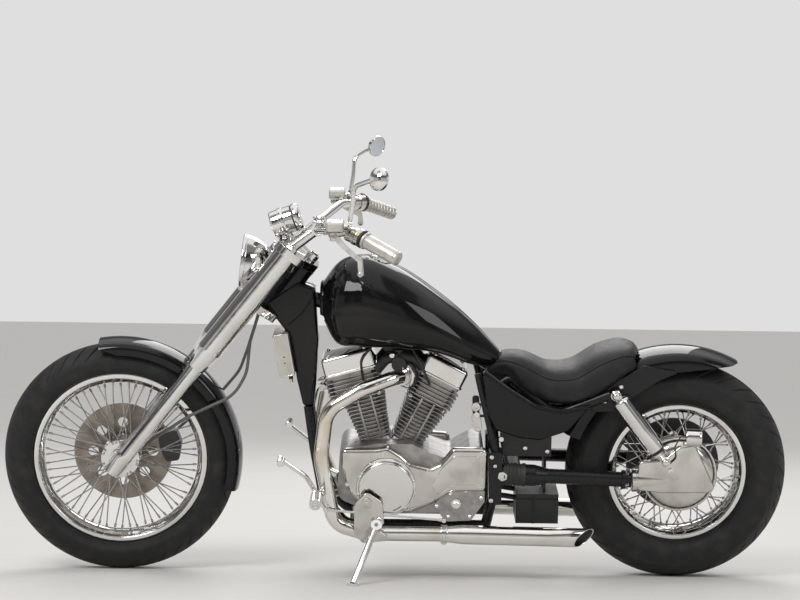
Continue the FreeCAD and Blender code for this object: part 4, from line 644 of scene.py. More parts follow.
def bent(points, radii, step=5.0):
    """Centre line of straight runs and arcs: each corner is cut back by r tan(turn / 2) and its arc is a sweep
    of its two tangents."""
    points = [np.asarray(p, float) for p in points]
    parts = [points[0][None]]
    for before, corner, after, r in zip(points, points[1:], points[2:], radii):
        into, out = unit(corner - before), unit(after - corner)
        turn = math.acos(np.clip(into @ out, -1, 1))
        if turn < 1e-3:
            continue
        inward = unit(out - into)
        centre = corner + inward * (r / math.cos(turn / 2))
        first = corner - into * (r * math.tan(turn / 2))
        t = np.linspace(0, turn, max(4, int(r * turn / step)))[:, None]
        parts.append(centre + (first - centre) * np.cos(t) + into * r * np.sin(t))
    parts.append(points[-1][None])
    line = np.concatenate(parts)
    line = line[np.concatenate([[True], np.linalg.norm(np.diff(line, axis=0), axis=1) > 0.05])]
    gaps = np.concatenate([[0], np.cumsum(np.linalg.norm(np.diff(line, axis=0), axis=1))])
    even = np.unique(np.concatenate([gaps, np.arange(0, gaps[-1], 25.0)]))
    return np.stack([np.interp(even, gaps, line[:, k]) for k in range(3)], 1)


def tube(points, radii, radius, sides=24, reference=ACROSS, flat=(1.0, 1.0)):
    """Closed round tube along a bent centre line."""
    grid = capped(carried(bent(points, radii), radius, sides, reference, flat))
    return np.concatenate([grid, grid[:, :1]], 1)


BAR_R = 12.7
BAR = [(-238, 0, 1028), (-238, -95, 1028), (-176, -255, 1056), (-112, -338, 1046), (-22, -405, 1006)]
BAR_BENDS = (60.0, 90.0, 70.0)
whole = [np.array(p) for p in BAR[:0:-1]] + [np.array(p) * (1, -1, 1) for p in BAR[1:]]
risers = []
for s in (-1, 1):
    foot, top = on_fork(808, s * 46, 6), np.array([-238.0, s * 46, 1028])
    high = float(np.linalg.norm(top - foot))
    risers.append(around(ring([(0, 0), (0, 17.5), (5, 17.5), (7, 16), (high - 16, 16), (high, 15), (high, 0)], foot,
        top - foot,
                              steps=48)))
    risers.append(around(ring([(-16, 0), (-16, 19.5), (-15, 20.5), (-0.8, 20.5), (-0.4, 19.8), (0.4, 19.8),
        (0.8, 20.5),
                               (15, 20.5), (16, 19.5), (16, 0)], top, ACROSS, steps=48)))
riser_bolts = [np.array([-238 + a, s * 46 + b, 1028 + 17.5]) for s in (-1, 1) for a in (-13, 13) for b in (-9, 9)]
skin("handlebar_form", [tube(whole, BAR_BENDS[::-1] + BAR_BENDS, BAR_R, 28, (1, 0.02, 0.03))] + risers +
     bolt_heads(riser_bolts, (0, 0, 1), 4.0, 4, 12), "fork", CHROME, ["handlebar"], angle=32)

# ---- grips ---------------------------------------------------------------------------------------
# Pale satin barrels turned with broad ribs, and a flange at the inner end.

GRIP = finish("satin grip", lambda w: w.mix((0.62, 0.60, 0.56, 1), (0.46, 0.44, 0.41, 1),
    w.noise(50, 5).between(0.4, 0.8)),
              lambda w: w.noise(160, 4) * 0.2 + 0.24, metal=0.6, height=lambda w: w.noise(500, 3), depth=0.0002)
BY_SLOT["grip"] = GRIP

grip_end, grip_in = np.array(BAR[4], float), np.array(BAR[3], float)
grip_way = unit(grip_end - grip_in)
grip_start = grip_end - grip_way * 110.0
x = np.linspace(8, 116, 217)
wave = np.clip(np.cos((x - 8) * 2 * math.pi / 12.0) * 3, -1, 1)
barrel = np.stack([x, 19.4 + 0.9 * wave - 1.4 * np.clip((x - 112) / 4, 0, 1) ** 2], 1)
barrel = np.concatenate([[(0, 13.2), (0, 23.5), (0.8, 24.4), (4.6, 24.4), (5.6, 23.5), (6.4, 19.4)], barrel,
                         [(118, 15), (118, 0)]])
plain = np.concatenate([barrel[:6], [(8, 19.8), (12, 20.4), (60, 20.4), (100, 20.2), (108, 19.6)],
                        [(109, 18.6), (111, 18.4), (112, 20.2), (117, 20.2), (118, 18.6), (118, 0)]])
right_grip = around(ring(barrel, grip_start, grip_way, steps=48)) * np.array([1, -1, 1])
skin("grip_barrels", [around(ring(plain, grip_start, grip_way, steps=48)), right_grip], "fork", GRIP, ["grips"],
    angle=40)

# ---- mirrors -------------------------------------------------------------------------------------
# Round chromed shells on bent stems that rise from the lever brackets, with slightly domed glass.

MIRROR_R = 32.0
head = np.array([-66.0, -366.0, 1214.0])
foot = np.array([-150.0, -306.0, 1074.0])
look = unit(np.array([0.66, 0.70, -0.20]))
stem = tube([foot, foot + (10, -6, 60), (-136, -322, 1188), head - look * 18], (60.0, 30.0), 6.5, 20, (0.1, 1, 0.05))
nut = around(ring([(0, 0), (0, 9), (10, 9), (12, 7.5), (12, 0)], foot + (1, 0, 2), (10, -6, 60), steps=6))
cup = np.concatenate([[(1.2, MIRROR_R - 3), (0, MIRROR_R - 2.4), (0, MIRROR_R - 1)],
    [(0.6, MIRROR_R - 0.3), (3, MIRROR_R)],
                      arc((10, MIRROR_R), (21.8, 0.56 * MIRROR_R), (26, 0), 18)])
skin("mirror_shells", both([stem, nut, around(ring(cup * (-1, 1), head, look, steps=64))]), "fork", CHROME,
    ["mirrors"],
     angle=35)
MIRROR = finish("mirror glass", (0.62, 0.66, 0.72), 0.015, metal=1.0)
skin("mirror_glasses", both(around(ring(arc((-1.4, MIRROR_R - 2), (-0.6, 16), (-0.3, 0), 8), head, look, steps=48))),
    "fork", MIRROR)

# ---- fenders -------------------------------------------------------------------------------------
# Pressed steel, lacquered black: an arched section carried round each wheel, with a rolled edge.

LACQUER = finish("black lacquer", lambda w: w.mix((0.004, 0.004, 0.005, 1), (0.012, 0.011, 0.010, 1),
                                                  w.noise(3, 5).between(0.4, 0.8)),
                 lambda w: w.noise(60, 4).between(0.3, 0.9) * 0.06 + 0.04, ior=1.38,
                 height=lambda w: w.noise(420, 2), depth=0.000015)
BY_SLOT["black_paint"] = LACQUER


def cut_radius(axle, line, angles):
    """Distance from an axle along each angle from upright to a broken line of the side view, 0 where it misses."""
    way = np.stack([np.sin(angles), np.cos(angles)], 1)
    reach = np.zeros(len(angles))
    for p, q in zip(np.asarray(line, float), np.asarray(line, float)[1:]):
        a, b = p - axle[[0, 2]], q - p
        across = way[:, 0] * b[1] - way[:, 1] * b[0]
        share = (way[:, 1] * a[0] - way[:, 0] * a[1]) / np.where(abs(across) < 1e-9, 1e-9, across)
        along = (a[0] * b[1] - a[1] * b[0]) / np.where(abs(across) < 1e-9, 1e-9, across)
        reach = np.where((share >= 0) & (share <= 1) & (along > 0), np.maximum(reach, along), reach)
    return reach


def fender(axle, crown_r, half, skirt, shoulder, start, end, wall, line, steps=120, rows=26):
    """Angle from upright by place across. Each half section runs from the crown (radius crown_r) over two arcs and
    down the skirt to crown_r - skirt, or to the cut line where that is higher; a second skin lies one wall inside.
    Returns the shell's grids and the two lower edges."""
    top = crown_r - 0.10 * half
    t = np.radians(np.linspace(start, end, steps))
    low = np.maximum(cut_radius(axle, line, t), crown_r - skirt)
    skins = []
    for inset in (0.0, wall):
        curve = np.concatenate([arc((0, crown_r), (0.40 * half, top + 0.072 * half), (0.72 * half, top), 12),
                                arc((0.72 * half, top), (0.90 * half, top - 0.35 * shoulder), (half, top - shoulder),
                                    10)[1:], [(half, crown_r - skirt)]])
        curve = curve * ((half - inset) / half, 1) - (0, inset)
        along = np.concatenate([[0], np.cumsum(np.linalg.norm(np.diff(curve, axis=0), axis=1))])
        stop = np.interp(-np.minimum(low, curve[0, 1] - 0.5), -curve[:, 1], along)
        s = stop[:, None] * np.linspace(0, 1, rows) ** 0.9
        y, r = np.interp(s, along, curve[:, 0]), np.interp(s, along, curve[:, 1])
        y, r = np.concatenate([-y[:, :0:-1], y], 1), np.concatenate([r[:, :0:-1], r], 1)
        skins.append(axle + np.stack([np.sin(t)[:, None] * r, y, np.cos(t)[:, None] * r], -1))
    shell = np.concatenate([skins[0], skins[1][:, ::-1], skins[0][:, :1]], 1)
    ends = [np.stack([skins[0][k], skins[1][k]], 1) for k in (0, -1)]
    return [shell] + ends, [0.5 * (skins[0][:, k] + skins[1][:, k]) for k in (0, -1)]


def bead(line, radius, sides=10, reference=ACROSS):
    """Round bar along a given line of points."""
    grid = capped(carried(line, radius, sides, reference))
    return np.concatenate([grid, grid[:, :1]], 1)


shell, edges = fender(FRONT_AXLE, 356.0, 70.0, 40.0, 16.0, -9.5, 105.0, 2.5,
                      [(-990, 680), (-866, 672), (-760, 640), (-660, 600), (-640, 500)])
stays = [around(ring([(0, 0), (0, 7), (1, 8.5), (6, 8.5), (7, 7), (74.9 - 68.7, 7), (74.9 - 68.7, 0)],
                     on_fork(along, -68.7), -ACROSS, steps=24)) for along in (300.0, 330.0)]
skin("front_fender_form", shell + [bead(e[2:-2] + np.array([0, -np.sign(e[5, 1]) * 1.2, 0]), 1.9) for e in edges],
     "fork", LACQUER, ["front_fender"], angle=36)
skin("front_fender_bolts", both(stays), "fork", CHROME, angle=30)
shell, edges = fender(REAR_AXLE, 369.0, 100.0, 60.0, 26.0, -70.0, 27.0, 3.0,
                      [(1020, 640), (975, 648), (930, 646), (780, 628), (690, 622), (600, 560), (560, 500)], 150)
skin("rear_fender_form", shell + [bead(e[2:-2] + np.array([0, -np.sign(e[5, 1]) * 1.2, 0]), 2.2) for e in edges],
     "frame", LACQUER, ["rear_fender"], angle=36)

# ---- neck, cradle and rear frame -----------------------------------------------------------------
# Enamelled steel: a deep pressed neck that runs down from the steering head, the two rails of the
# cradle, and the upright loops with a forged plate round each end of the swingarm pivot.

ENAMEL = finish("black frame enamel", (0.010, 0.010, 0.011), lambda w: w.noise(90, 3) * 0.14 + 0.20, ior=1.38,
                height=lambda w: w.noise(300, 2), depth=0.00002)
BY_SLOT["black_frame"] = ENAMEL


def rounded(points, step=2.5):
    """Closed outline of (x, z) or (x, z, corner radius): each radius gives an arc between its two tangents."""
    points, parts = [np.array(p, float) for p in points], []
    for before, corner, after in zip(points[-1:] + points[:-1], points, points[1:] + points[:1]):
        if len(corner) < 3:
            parts.append(corner[None, :2])
            continue
        into, out = unit(corner[:2] - before[:2]), unit(after[:2] - corner[:2])
        turn = math.acos(np.clip(into @ out, -1, 1))
        r = corner[2]
        first = corner[:2] - into * r * math.tan(turn / 2)
        centre = corner[:2] + unit(out - into) * r / math.cos(turn / 2)
        t = np.linspace(0, turn, max(3, int(r * turn / step)))[:, None]
        parts.append(centre + (first - centre) * np.cos(t) + into * r * np.sin(t))
    return np.concatenate(parts)


def plank(name, outline, low, high, ease, body, material, stands_for=(), mirror=False, angle=30.0):
    """Flat piece between two planes across the machine: its outline is set in by ease (1 - cos t) as it goes over
    each edge, t from 0 to 90 degrees."""
    outline = rounded(outline)
    outline = outline[np.linalg.norm(outline - np.roll(outline, 1, 0), axis=1) > 0.3]
    area = np.sum(outline[:, 0] * np.roll(outline[:, 1], -1) - np.roll(outline[:, 0], -1) * outline[:, 1])
    edge = unit(np.roll(outline, -1, 0) - outline) * np.sign(area)
    normal = unit(np.stack([edge[:, 1], -edge[:, 0]], 1) + np.roll(np.stack([edge[:, 1], -edge[:, 0]], 1), 1, 0))
    t = np.radians([90, 67.5, 45, 22.5, 0])
    inset = np.concatenate([ease * (1 - np.cos(t)), ease * (1 - np.cos(t[::-1]))])
    level = np.concatenate([low + ease * (1 - np.sin(t)), high - ease * (1 - np.sin(t[::-1]))])
    flat = outline[None] - normal[None] * inset[:, None, None]
    rings = np.stack([flat[..., 0], np.broadcast_to(level[:, None], flat.shape[:2]), flat[..., 1]], -1)
    count = len(outline)
    index = np.arange(len(rings) * count).reshape(len(rings), count)
    after = np.roll(index, -1, 1)
    quads = np.stack([index[:-1], index[1:], after[1:], after[:-1]], -1).reshape(-1, 4).tolist()
    faces = quads + [index[0].tolist(), index[-1][::-1].tolist()]
    points = rings.reshape(-1, 3)
    if mirror:
        start = len(points)
        points = np.concatenate([points, points * (1, -1, 1)])
        faces += [[start + k for k in face[::-1]] for face in faces]
    mesh = bpy.data.meshes.new(name)
    mesh.from_pydata(stood(points, body), [], faces)
    form = bmesh.new()
    form.from_mesh(mesh)
    bmesh.ops.recalc_face_normals(form, faces=form.faces)
    form.to_mesh(mesh)
    form.free()
    return settled(mesh, body, material, stands_for, 0.0, angle)


neck_line = [(-394, 806, 10), (-300, 870, 12), (-246, 852, 14), (-235, 700), (-241, 578), (-247, 502, 11),
             (-279, 502, 11), (-297, 578), (-319, 708)]
plank("neck_pressing", neck_line, -36, 36, 11.0, "frame", LACQUER, ["main_frame"], angle=44)
head_tube = [(0, 16.4), (0, 32.6), (1.4, 34), (12, 34), (13, 33), (149, 33), (150, 34), (160.6, 34), (162, 32.6),
    (162, 16.4)]
spine_line = [HEAD_LOW * 0.6 + (HEAD_LOW + UP_FORK * 162) * 0.4, (110, 0, 718), (306, 0, 604)]
saddles = [around(ring([(-31.5, 0), (-31.5, 11), (31.5, 11), (31.5, 0)], (x, 0, z), ACROSS, steps=24))
           for x, z in ((-150, 786), (180, 678))]
skin("neck_tubes", [around(ring(head_tube, HEAD_LOW, UP_FORK, steps=72)),
    tube(spine_line, (120.0,), 22.0, 32)] + saddles,
     "frame", LACQUER, angle=34)
swage = bent([(-322, -36.4, 742), (-283, -36.4, 776), (-259, -36.4, 812), (-248, -36.4, 848)], (60.0, 60.0))
skin("neck_swages", both(bead(swage, 2.6, 12)), "frame", LACQUER, angle=50)
dressed("cradle", 0.6)
dressed("rear_frame", 1.6)
pivot_caps = [np.array([300.0, s * 151.0, 330.0]) for s in (-1, 1)]
skin("pivot_caps", bolt_heads(pivot_caps[:1], -ACROSS, 15, 6, 6, True) + bolt_heads(pivot_caps[1:], ACROSS, 15, 6, 6,
    True) +
     bolt_heads([np.array([268.0, -149.0, z]) for z in (386, 258)], -ACROSS, 6.5, 5, 16), "frame", CHROME, angle=30)

# ---- tank and filler cap -------------------------------------------------------------------------
# A long teardrop of welded steel, lacquered black: full sides, a rounded crown, a weld lip round its
# lower edge and a channel underneath for the backbone. The cap is chromed, with a fluted edge.


def eased(at, given, x):
    """Smooth curve through the given values: a cubic between two neighbours, with each one's slope taken from the
    values on both sides of it."""
    at, given, x = np.asarray(at, float), np.asarray(given, float), np.asarray(x, float)
    slope = np.gradient(given, at)
    k = np.clip(np.searchsorted(at, x, side="right") - 1, 0, len(at) - 2)
    h = at[k + 1] - at[k]
    t = (x - at[k]) / h
    return ((2 * t**3 - 3 * t**2 + 1) * given[k] + (t**3 - 2 * t**2 + t) * h * slope[k] +
            (3 * t**2 - 2 * t**3) * given[k + 1] + (t**3 - t**2) * h * slope[k + 1])


TANK = np.array([
    # x, bottom z, top z, half width, height of the widest line as a share
    (-222, 772, 868, 62, 0.40), (-190, 716, 912, 112, 0.42), (-120, 700, 944, 142, 0.42),
    (-20, 696, 918, 150, 0.42), (110, 680, 834, 132, 0.42), (220, 640, 742, 92, 0.45), (290, 628, 668, 44, 0.50)])
turn = np.radians(np.linspace(0, 90, 6))
x = np.concatenate([-222 - 9 * np.sin(turn[:0:-1]), -222 + 512 * np.linspace(0, 1, 110) ** 1.15,
    290 + 7 * np.sin(turn[1:])])
shrink = np.concatenate([1 - 0.14 * (1 - np.cos(turn[:0:-1])), np.ones(110), 1 - 0.16 * (1 - np.cos(turn[1:]))])
low, high, half, share = (eased(TANK[:, 0], TANK[:, k], np.clip(x, -222, 290)) for k in (1, 2, 3, 4))
channel = np.interp(x, (-260, -210, 100, 310), (866, 838, 756, 640))
rows = []
for x0, a, b, w, s, c, f in zip(x, low, high, half, share, channel, shrink):
    waist, notch = a + s * (b - a), min(34.0, 0.6 * w)
    side = arc((0.72 * w, a), (0.93 * w, a + 0.35 * (waist - a)), (w, waist), 16)
    crown = arc((w, waist), (0.80 * w, waist + 0.62 * (b - waist)), (0, b), 30)[1:]
    right = np.concatenate([[(0.5 * notch, min(c, b - 6)), (notch, min(c, b - 6)), (notch, a),
        (0.5 * (notch + 0.72 * w), a)], side, crown])
    section = np.concatenate([right, right[-2::-1] * (-1, 1)])
    middle = np.array([0.0, 0.5 * (a + b)])
    section = middle + (section - middle) * f
    rows.append(np.stack([np.full(len(section), x0), section[:, 0], section[:, 1]], 1))
tank_grid = capped(np.array(rows))
body_x, body_y, body_z = tank_grid[8:-8, 4].T
lip = bead(np.stack([body_x, body_y + 0.8, body_z - 0.6], 1), 2.4, 10)
skin("tank_form", [np.concatenate([tank_grid, tank_grid[:, :1]], 1)] + both(lip), "frame", LACQUER, ["fuel_tank"],
    angle=40)
cap_at, cap_way = np.array([-62.0, 0, 932.0]), unit(np.array([0.16, 0, 1.0]))
flute = np.linspace(0, 2 * math.pi, 144, endpoint=False)
cap_profile = np.concatenate([[(-3, 0), (-3, 37), (0.5, 37), (1.5, 35.5), (2, 31.2), (9, 31.2)],
    arc((9, 31.2), (11.2, 30.4), (12.4, 27), 4)[1:],
                              [(12.6, 24), (11.9, 22.8), (11.9, 21), (13.4, 12), (13.8, 0)]])
cap_grid = ring(cap_profile, cap_at, cap_way, angles=flute)
cap_pull = 1 - 0.022 * (np.cos(24 * flute) > 0.3)[:, None,
    None] * ((cap_profile[:, 0] > 1.6) & (cap_profile[:, 0] < 9.5))[None, :, None]
spine = cap_at + ((cap_grid - cap_at) @ cap_way)[..., None] * cap_way
skin("filler_cap_form", around(spine + (cap_grid - spine) * cap_pull), "frame", CHROME, ["filler_cap"], angle=32)
tap = np.array([-22.0, -52.0, 690.0])
skin("fuel_tap", [around(ring([(-8, 0), (-8, 7), (6, 7), (7, 9.5), (15, 9.5), (16, 13), (19, 14), (34, 14),
    (36, 12.5), (36, 0)], tap, (0, 0, -1), steps=36)),
                  around(ring([(0, 0), (0, 5), (20, 5), (21, 7.5), (26, 7.5), (27, 6), (27, 0)], tap - (0, 10, 24),
                      (0, -1, 0), steps=24))],
     "frame", CHROME, angle=32)

# ---- seat ----------------------------------------------------------------------------------------
# A one-piece solo saddle: padded and tightly covered in black leather, pulled down between a narrow
# nose and a broad back, with a seam and its piping between the top panel and each side.

RUBBER = finish("black rubber", lambda w: w.mix((0.018, 0.018, 0.018, 1), (0.035, 0.034, 0.032, 1),
                                                w.noise(30, 6).between(0.4, 0.8)),
                lambda w: w.noise(150, 5) * 0.2 + 0.52, height=lambda w: w.noise(900, 3), depth=0.0003)

SEAT = np.array([
    # x, bottom z, top z, half width
    (262, 606, 652, 58), (300, 596, 668, 74), (360, 556, 664, 100), (430, 530, 632, 122), (500, 524, 636, 134),
    (580, 558, 682, 138), (650, 610, 697, 128), (706, 640, 680, 96)])
LEATHER = finish("seat leather", lambda w: w.mix((0.010, 0.010, 0.011, 1), (0.020, 0.019, 0.018, 1),
                                                 w.noise(22, 5).between(0.4, 0.8)),
                 lambda w: w.noise(70, 5).between(0.2, 0.9) * 0.14 + 0.36, ior=1.38,
                 height=lambda w: w.node("ShaderNodeTexVoronoi", {"feature": "DISTANCE_TO_EDGE"},
                                         {"Vector": w.node("ShaderNodeTexCoord", out=3),
                                             "Scale": 420.0}).between(0.0, 0.25) * 0.4 +
                 w.noise(34, 5, 0.6) * 2.2, depth=0.0007)
BY_SLOT["seat_leather"] = LEATHER


def seat_surface(x, v, drawn_in=0.0):
    """Point of the saddle at x and at the angle v round its section: half width times cos v and height times
    sin v, each raised to a power under 1 so that the sides stand fuller than an ellipse."""
    low, high, half = (eased(SEAT[:, 0], SEAT[:, k], x) for k in (1, 2, 3))
    edge = low + 0.42 * (high - low)
    c, s = np.cos(v), np.sin(v)
    y = (half - drawn_in) * np.sign(c) * np.abs(c) ** np.where(s > 0, 0.72, 0.52)
    z = edge + np.where(s > 0, high - drawn_in - edge,
        edge - low - drawn_in) * np.sign(s) * np.abs(s) ** np.where(s > 0, 0.86, 0.36)
    return np.stack(np.broadcast_arrays(x, y, z), -1)


def over_fender(points, radius=372.5):
    """Points within the rear fender's width are moved out from the axle until they clear it."""
    away = points[:, [0, 2]] - REAR_AXLE[[0, 2]]
    reach = np.linalg.norm(away, axis=1)
    push = np.where(np.abs(points[:, 1]) < 103, np.maximum(1.0, radius / reach), 1.0)
    return np.stack([REAR_AXLE[0] + away[:, 0] * push, points[:, 1], REAR_AXLE[2] + away[:, 1] * push], 1)


v = np.linspace(0, 2 * math.pi, 72, endpoint=False)
x = np.linspace(264, 710, 70)
seat_grid = seat_surface(x[:, None], v[None], 2.0)
ends = []
for k, way in ((0, -1), (-1, 1)):
    middle = seat_grid[k].mean(0)
    for t in np.radians((25, 50, 72, 90)):
        ends.append(middle + (seat_grid[k] - middle) * (1 - 0.30 * (1 - math.cos(t))) + np.array([way * 9 * math.sin(t), 0, 0]))
seat_grid = capped(np.concatenate([np.array(ends[3::-1]), seat_grid, np.array(ends[4:])]))
flat = over_fender(seat_grid.reshape(-1, 3)).reshape(seat_grid.shape)
saddle = skin("seat_cushion", np.concatenate([flat, flat[:, :1]], 1), "frame", LEATHER, ["seat"], angle=60)
bpy.context.view_layer.objects.active = saddle
remesh = saddle.modifiers.new("even mesh", "REMESH")
remesh.mode, remesh.voxel_size = "VOXEL", 0.0055
cloth = saddle.modifiers.new("padding", "CLOTH")
cloth.settings.use_pressure, cloth.settings.uniform_pressure_force = True, 4.0
cloth.settings.effector_weights.gravity = 0.0
cloth.settings.quality = 4
cloth.point_cache.frame_start, cloth.point_cache.frame_end = 1, 20
cloth.show_viewport = False
before_mesh = bpy.data.meshes.new_from_object(saddle.evaluated_get(bpy.context.evaluated_depsgraph_get()))
cloth.show_viewport = True
for step in range(1, 21):
    bpy.context.scene.frame_set(step)
after_mesh = bpy.data.meshes.new_from_object(saddle.evaluated_get(bpy.context.evaluated_depsgraph_get()))
bpy.context.scene.frame_set(1)
old = np.zeros(len(before_mesh.vertices) * 3)
new = np.zeros(len(after_mesh.vertices) * 3)
before_mesh.vertices.foreach_get("co", old)
after_mesh.vertices.foreach_get("co", new)
old, new = old.reshape(-1, 3), new.reshape(-1, 3)
move = new - old
size = np.linalg.norm(move, axis=1, keepdims=True)
new = old + move * np.minimum(1.0, 0.007 / np.maximum(size, 1e-9))
turn, shift = STAND["frame"]
upright = over_fender((new * 1000 - shift) @ turn)
after_mesh.vertices.foreach_set("co", stood(upright, "frame").ravel())
saddle.modifiers.clear()
old_mesh = saddle.data
saddle.data = after_mesh
bpy.data.meshes.remove(old_mesh)
bpy.data.meshes.remove(before_mesh)
saddle.data.materials.clear()
saddle.data.materials.append(LEATHER)
saddle.data.shade_smooth()
relax = saddle.modifiers.new("relaxed", "SMOOTH")
relax.factor, relax.iterations = 0.5, 4
fine = saddle.modifiers.new("smooth", "SUBSURF")
fine.levels = fine.render_levels = 1

graph = bpy.context.evaluated_depsgraph_get()
cover = BVHTree.FromObject(saddle, graph)


def on_cover(line, lift):
    """Each point of a line moved to the nearest point of the seat cover, lift metres above it."""
    found = [cover.find_nearest(Vector(p)) for p in stood(line, "frame")]
    turn, shift = STAND["frame"]
    return (np.array([f[0] + f[1] * lift for f in found]) * 1000 - shift) @ turn


seam_x = np.linspace(276, 692, 60)
for side_name, v0 in (("left", math.pi - 0.62), ("right", 0.62)):
    seam = on_cover(seat_surface(seam_x, np.full(60, v0)), 0.0004)
    skin("seat_piping_" + side_name, bead(seam, 2.0, 8, (0, 0.3, 1)), "frame", LEATHER, angle=50)
    below = on_cover(seat_surface(seam_x, np.full(60, v0 + (0.07 if v0 > 2 else -0.07))), 0.0003)
    run = np.linspace(0, 1, 100)[:, None]
    place = np.stack([np.interp(np.linspace(0, 59, 200), np.arange(60), below[:, k]) for k in range(3)], 1)
    stitches = [bead(place[k:k + 2] * 1.0, 0.55, 6, (0, 0.3, 1)) for k in range(0, 198, 3)]
    skin("seat_stitches_" + side_name, stitches, "frame", RUBBER, angle=50)

# ---- side covers and fender struts ---------------------------------------------------------------
# Pressed covers under the seat with a rolled lip along their upper edge, and the black plates that
# carry the rear fender, with a domed bolt at each fixing.

side_line = [(238, 640, 10), (310, 587), (392, 535), (467, 521), (552, 537, 10), (487, 460, 20), (407, 432, 30),
    (345, 438),
             (278, 460, 20), (250, 520)]
plank("side_cover_pressings", side_line, -136, -113, 9.0, "frame", LACQUER, ["side_covers"], True, angle=44)
lip_line = bent([(242, -134, 633), (310, -134, 584), (392, -134, 532), (467, -134, 518), (545, -134, 532)],
    (60.0, 90.0, 60.0))
skin("side_cover_lips", both(bead(lip_line, 6.2, 14)), "frame", LACQUER, angle=44)
strut_line = [(552, 528, 6), (556, 512, 6), (622, 514, 12), (670, 556, 20), (752, 610, 20), (806, 632, 4),
    (700, 650, 8),
              (600, 590, 20)]
plank("strut_plates", strut_line, -110, -102, 2.5, "frame", ENAMEL, ["fender_struts"], True, angle=44)
strut_bolts = [np.array([x, -110.0, z]) for x, z in ((590, 546), (636, 588))]
skin("strut_bolts", both(bolt_heads(strut_bolts, -ACROSS, 6.5, 6, 20, True)), "frame", CHROME, angle=30)
top_stud = np.array([618.0, -103.0, 572.0])
skin("shock_studs", both(around(ring([(0, 0), (0, 10), (30, 10), (30, 0)], top_stud, -ACROSS, steps=24))), "frame",
    ENAMEL)

# ---- cylinders -----------------------------------------------------------------------------------
# Air-cooled barrels and heads of cast aluminium: thin square-cornered fins, closer and larger toward
# the head, crossed on each side by two cast ribs, held down by long studs.

CRANK = np.array([-34.0, 0.0, 294.0])
FINNED = finish("fin alloy", lambda w: w.mix((0.46, 0.45, 0.43, 1), (0.28, 0.27, 0.255, 1),
    w.noise(26, 6).between(0.35, 0.75)),
                lambda w: w.noise(180, 4) * 0.22 + 0.26, metal=0.92, height=lambda w: w.noise(900, 4,
                    0.65), depth=0.00035)


def cylinder_ways(tilt):
    """Unit vectors along a cylinder and across it, rearward, tilted back by so many degrees."""
    a = math.radians(tilt)
    return np.array([math.sin(a), 0, math.cos(a)]), np.array([math.cos(a), 0, -math.sin(a)])


def block(levels, half_across, half_y, corner, tilt, forward=0.0, side=0.0, steps=6):
    """Closed form between levels of (distance along the cylinder, inset): each is a rectangle with round corners,
    its corner arcs cos t, sin t times the corner radius less the inset."""
    along, across = cylinder_ways(tilt)
    t = np.radians(np.linspace(0, 90, steps))
    rows = []
    for distance, inset in levels:
        a, b, r = half_across - inset, half_y - inset, max(corner - inset, 0.4)
        quarter = np.stack([a - r + r * np.cos(t), b - r + r * np.sin(t)], 1)
        rim = np.concatenate([quarter, quarter[::-1] * (-1, 1), -quarter, quarter[::-1] * (1, -1)])
        rows.append(CRANK + along * distance + across * (rim[:, :1] - forward) + ACROSS * (rim[:, 1:] + side))
    grid = capped(np.array(rows))
    return np.concatenate([grid, grid[:, :1]], 1)


CYLINDERS = (("front_cylinder", -15.5, 80.0, 17.0), ("rear_cylinder", 27.0, 69.0, 0.0))
for node, tilt, head_half, forward in CYLINDERS:
    along, across = cylinder_ways(tilt)
    core = [block([(96, 0), (262, 0), (330, 0)], 38, 46, 16, tilt)]
    core.append(block([(262, 0), (333, 0)], head_half - 16, 58, 12, tilt, forward))
    for offset in (-20, 20):
        for s in (-1, 1):
            rows = []
            for a, out in ((112, 46), (122, 56), (130, 61.0), (192, 66.0), (254, 70.6), (264, 70.6)):
                rim = np.array([(-3.6, 40), (-3.6, out - 2.2), (-2.4, out - 0.6), (0, out), (2.4, out - 0.6),
                    (3.6, out - 2.2), (3.6, 40)])
                rows.append(CRANK + along * a + across * (rim[:, :1] + offset) + ACROSS * (s * rim[:, 1:]))
            rib = capped(np.array(rows))
            core.append(np.concatenate([rib, rib[:, :1]], 1))
    fins = []
    for i in range(12):
        share = i / 11
        a = 130 + share * 124
        fins.append(block([(a, 1.0), (a + 0.7, 0.2), (a + 1.9, 0.2), (a + 2.6, 1.0)], 46 + 18 * share,
            60 + 10 * share, 9.0, tilt))
    for i in range(5):
        a = 266 + i * 12.0
        fins.append(block([(a, 1.0), (a + 0.8, 0.2), (a + 2.2, 0.2), (a + 3.0, 1.0)], head_half, 74, 9.0, tilt,
            forward))
    fins.append(block([(326, 0.5), (334, 0.5)], head_half - 6, 68, 8, tilt, forward))
    foot = block([(96, 0), (120, 0), (124, 3)], 44, 56, 14, tilt)
    skin(node + "_castings", core + fins + [foot], "frame", FINNED, [node], angle=40)
    nuts = [CRANK + along * 252 + across * (x0 - 0.5 * forward) + ACROSS * y0 for x0 in (-54, 54) for y0 in (-61, 61)]
    skin(node + "_studs", bolt_heads(nuts, along, 5.5, 6, 6, False), "frame", CHROME, angle=30)

# ---- rocker covers -------------------------------------------------------------------------------
# Chromed cast covers, one on each head: a thin flange on the joint, sides that draw in a little, a
# rounded upper edge and four domed screws.

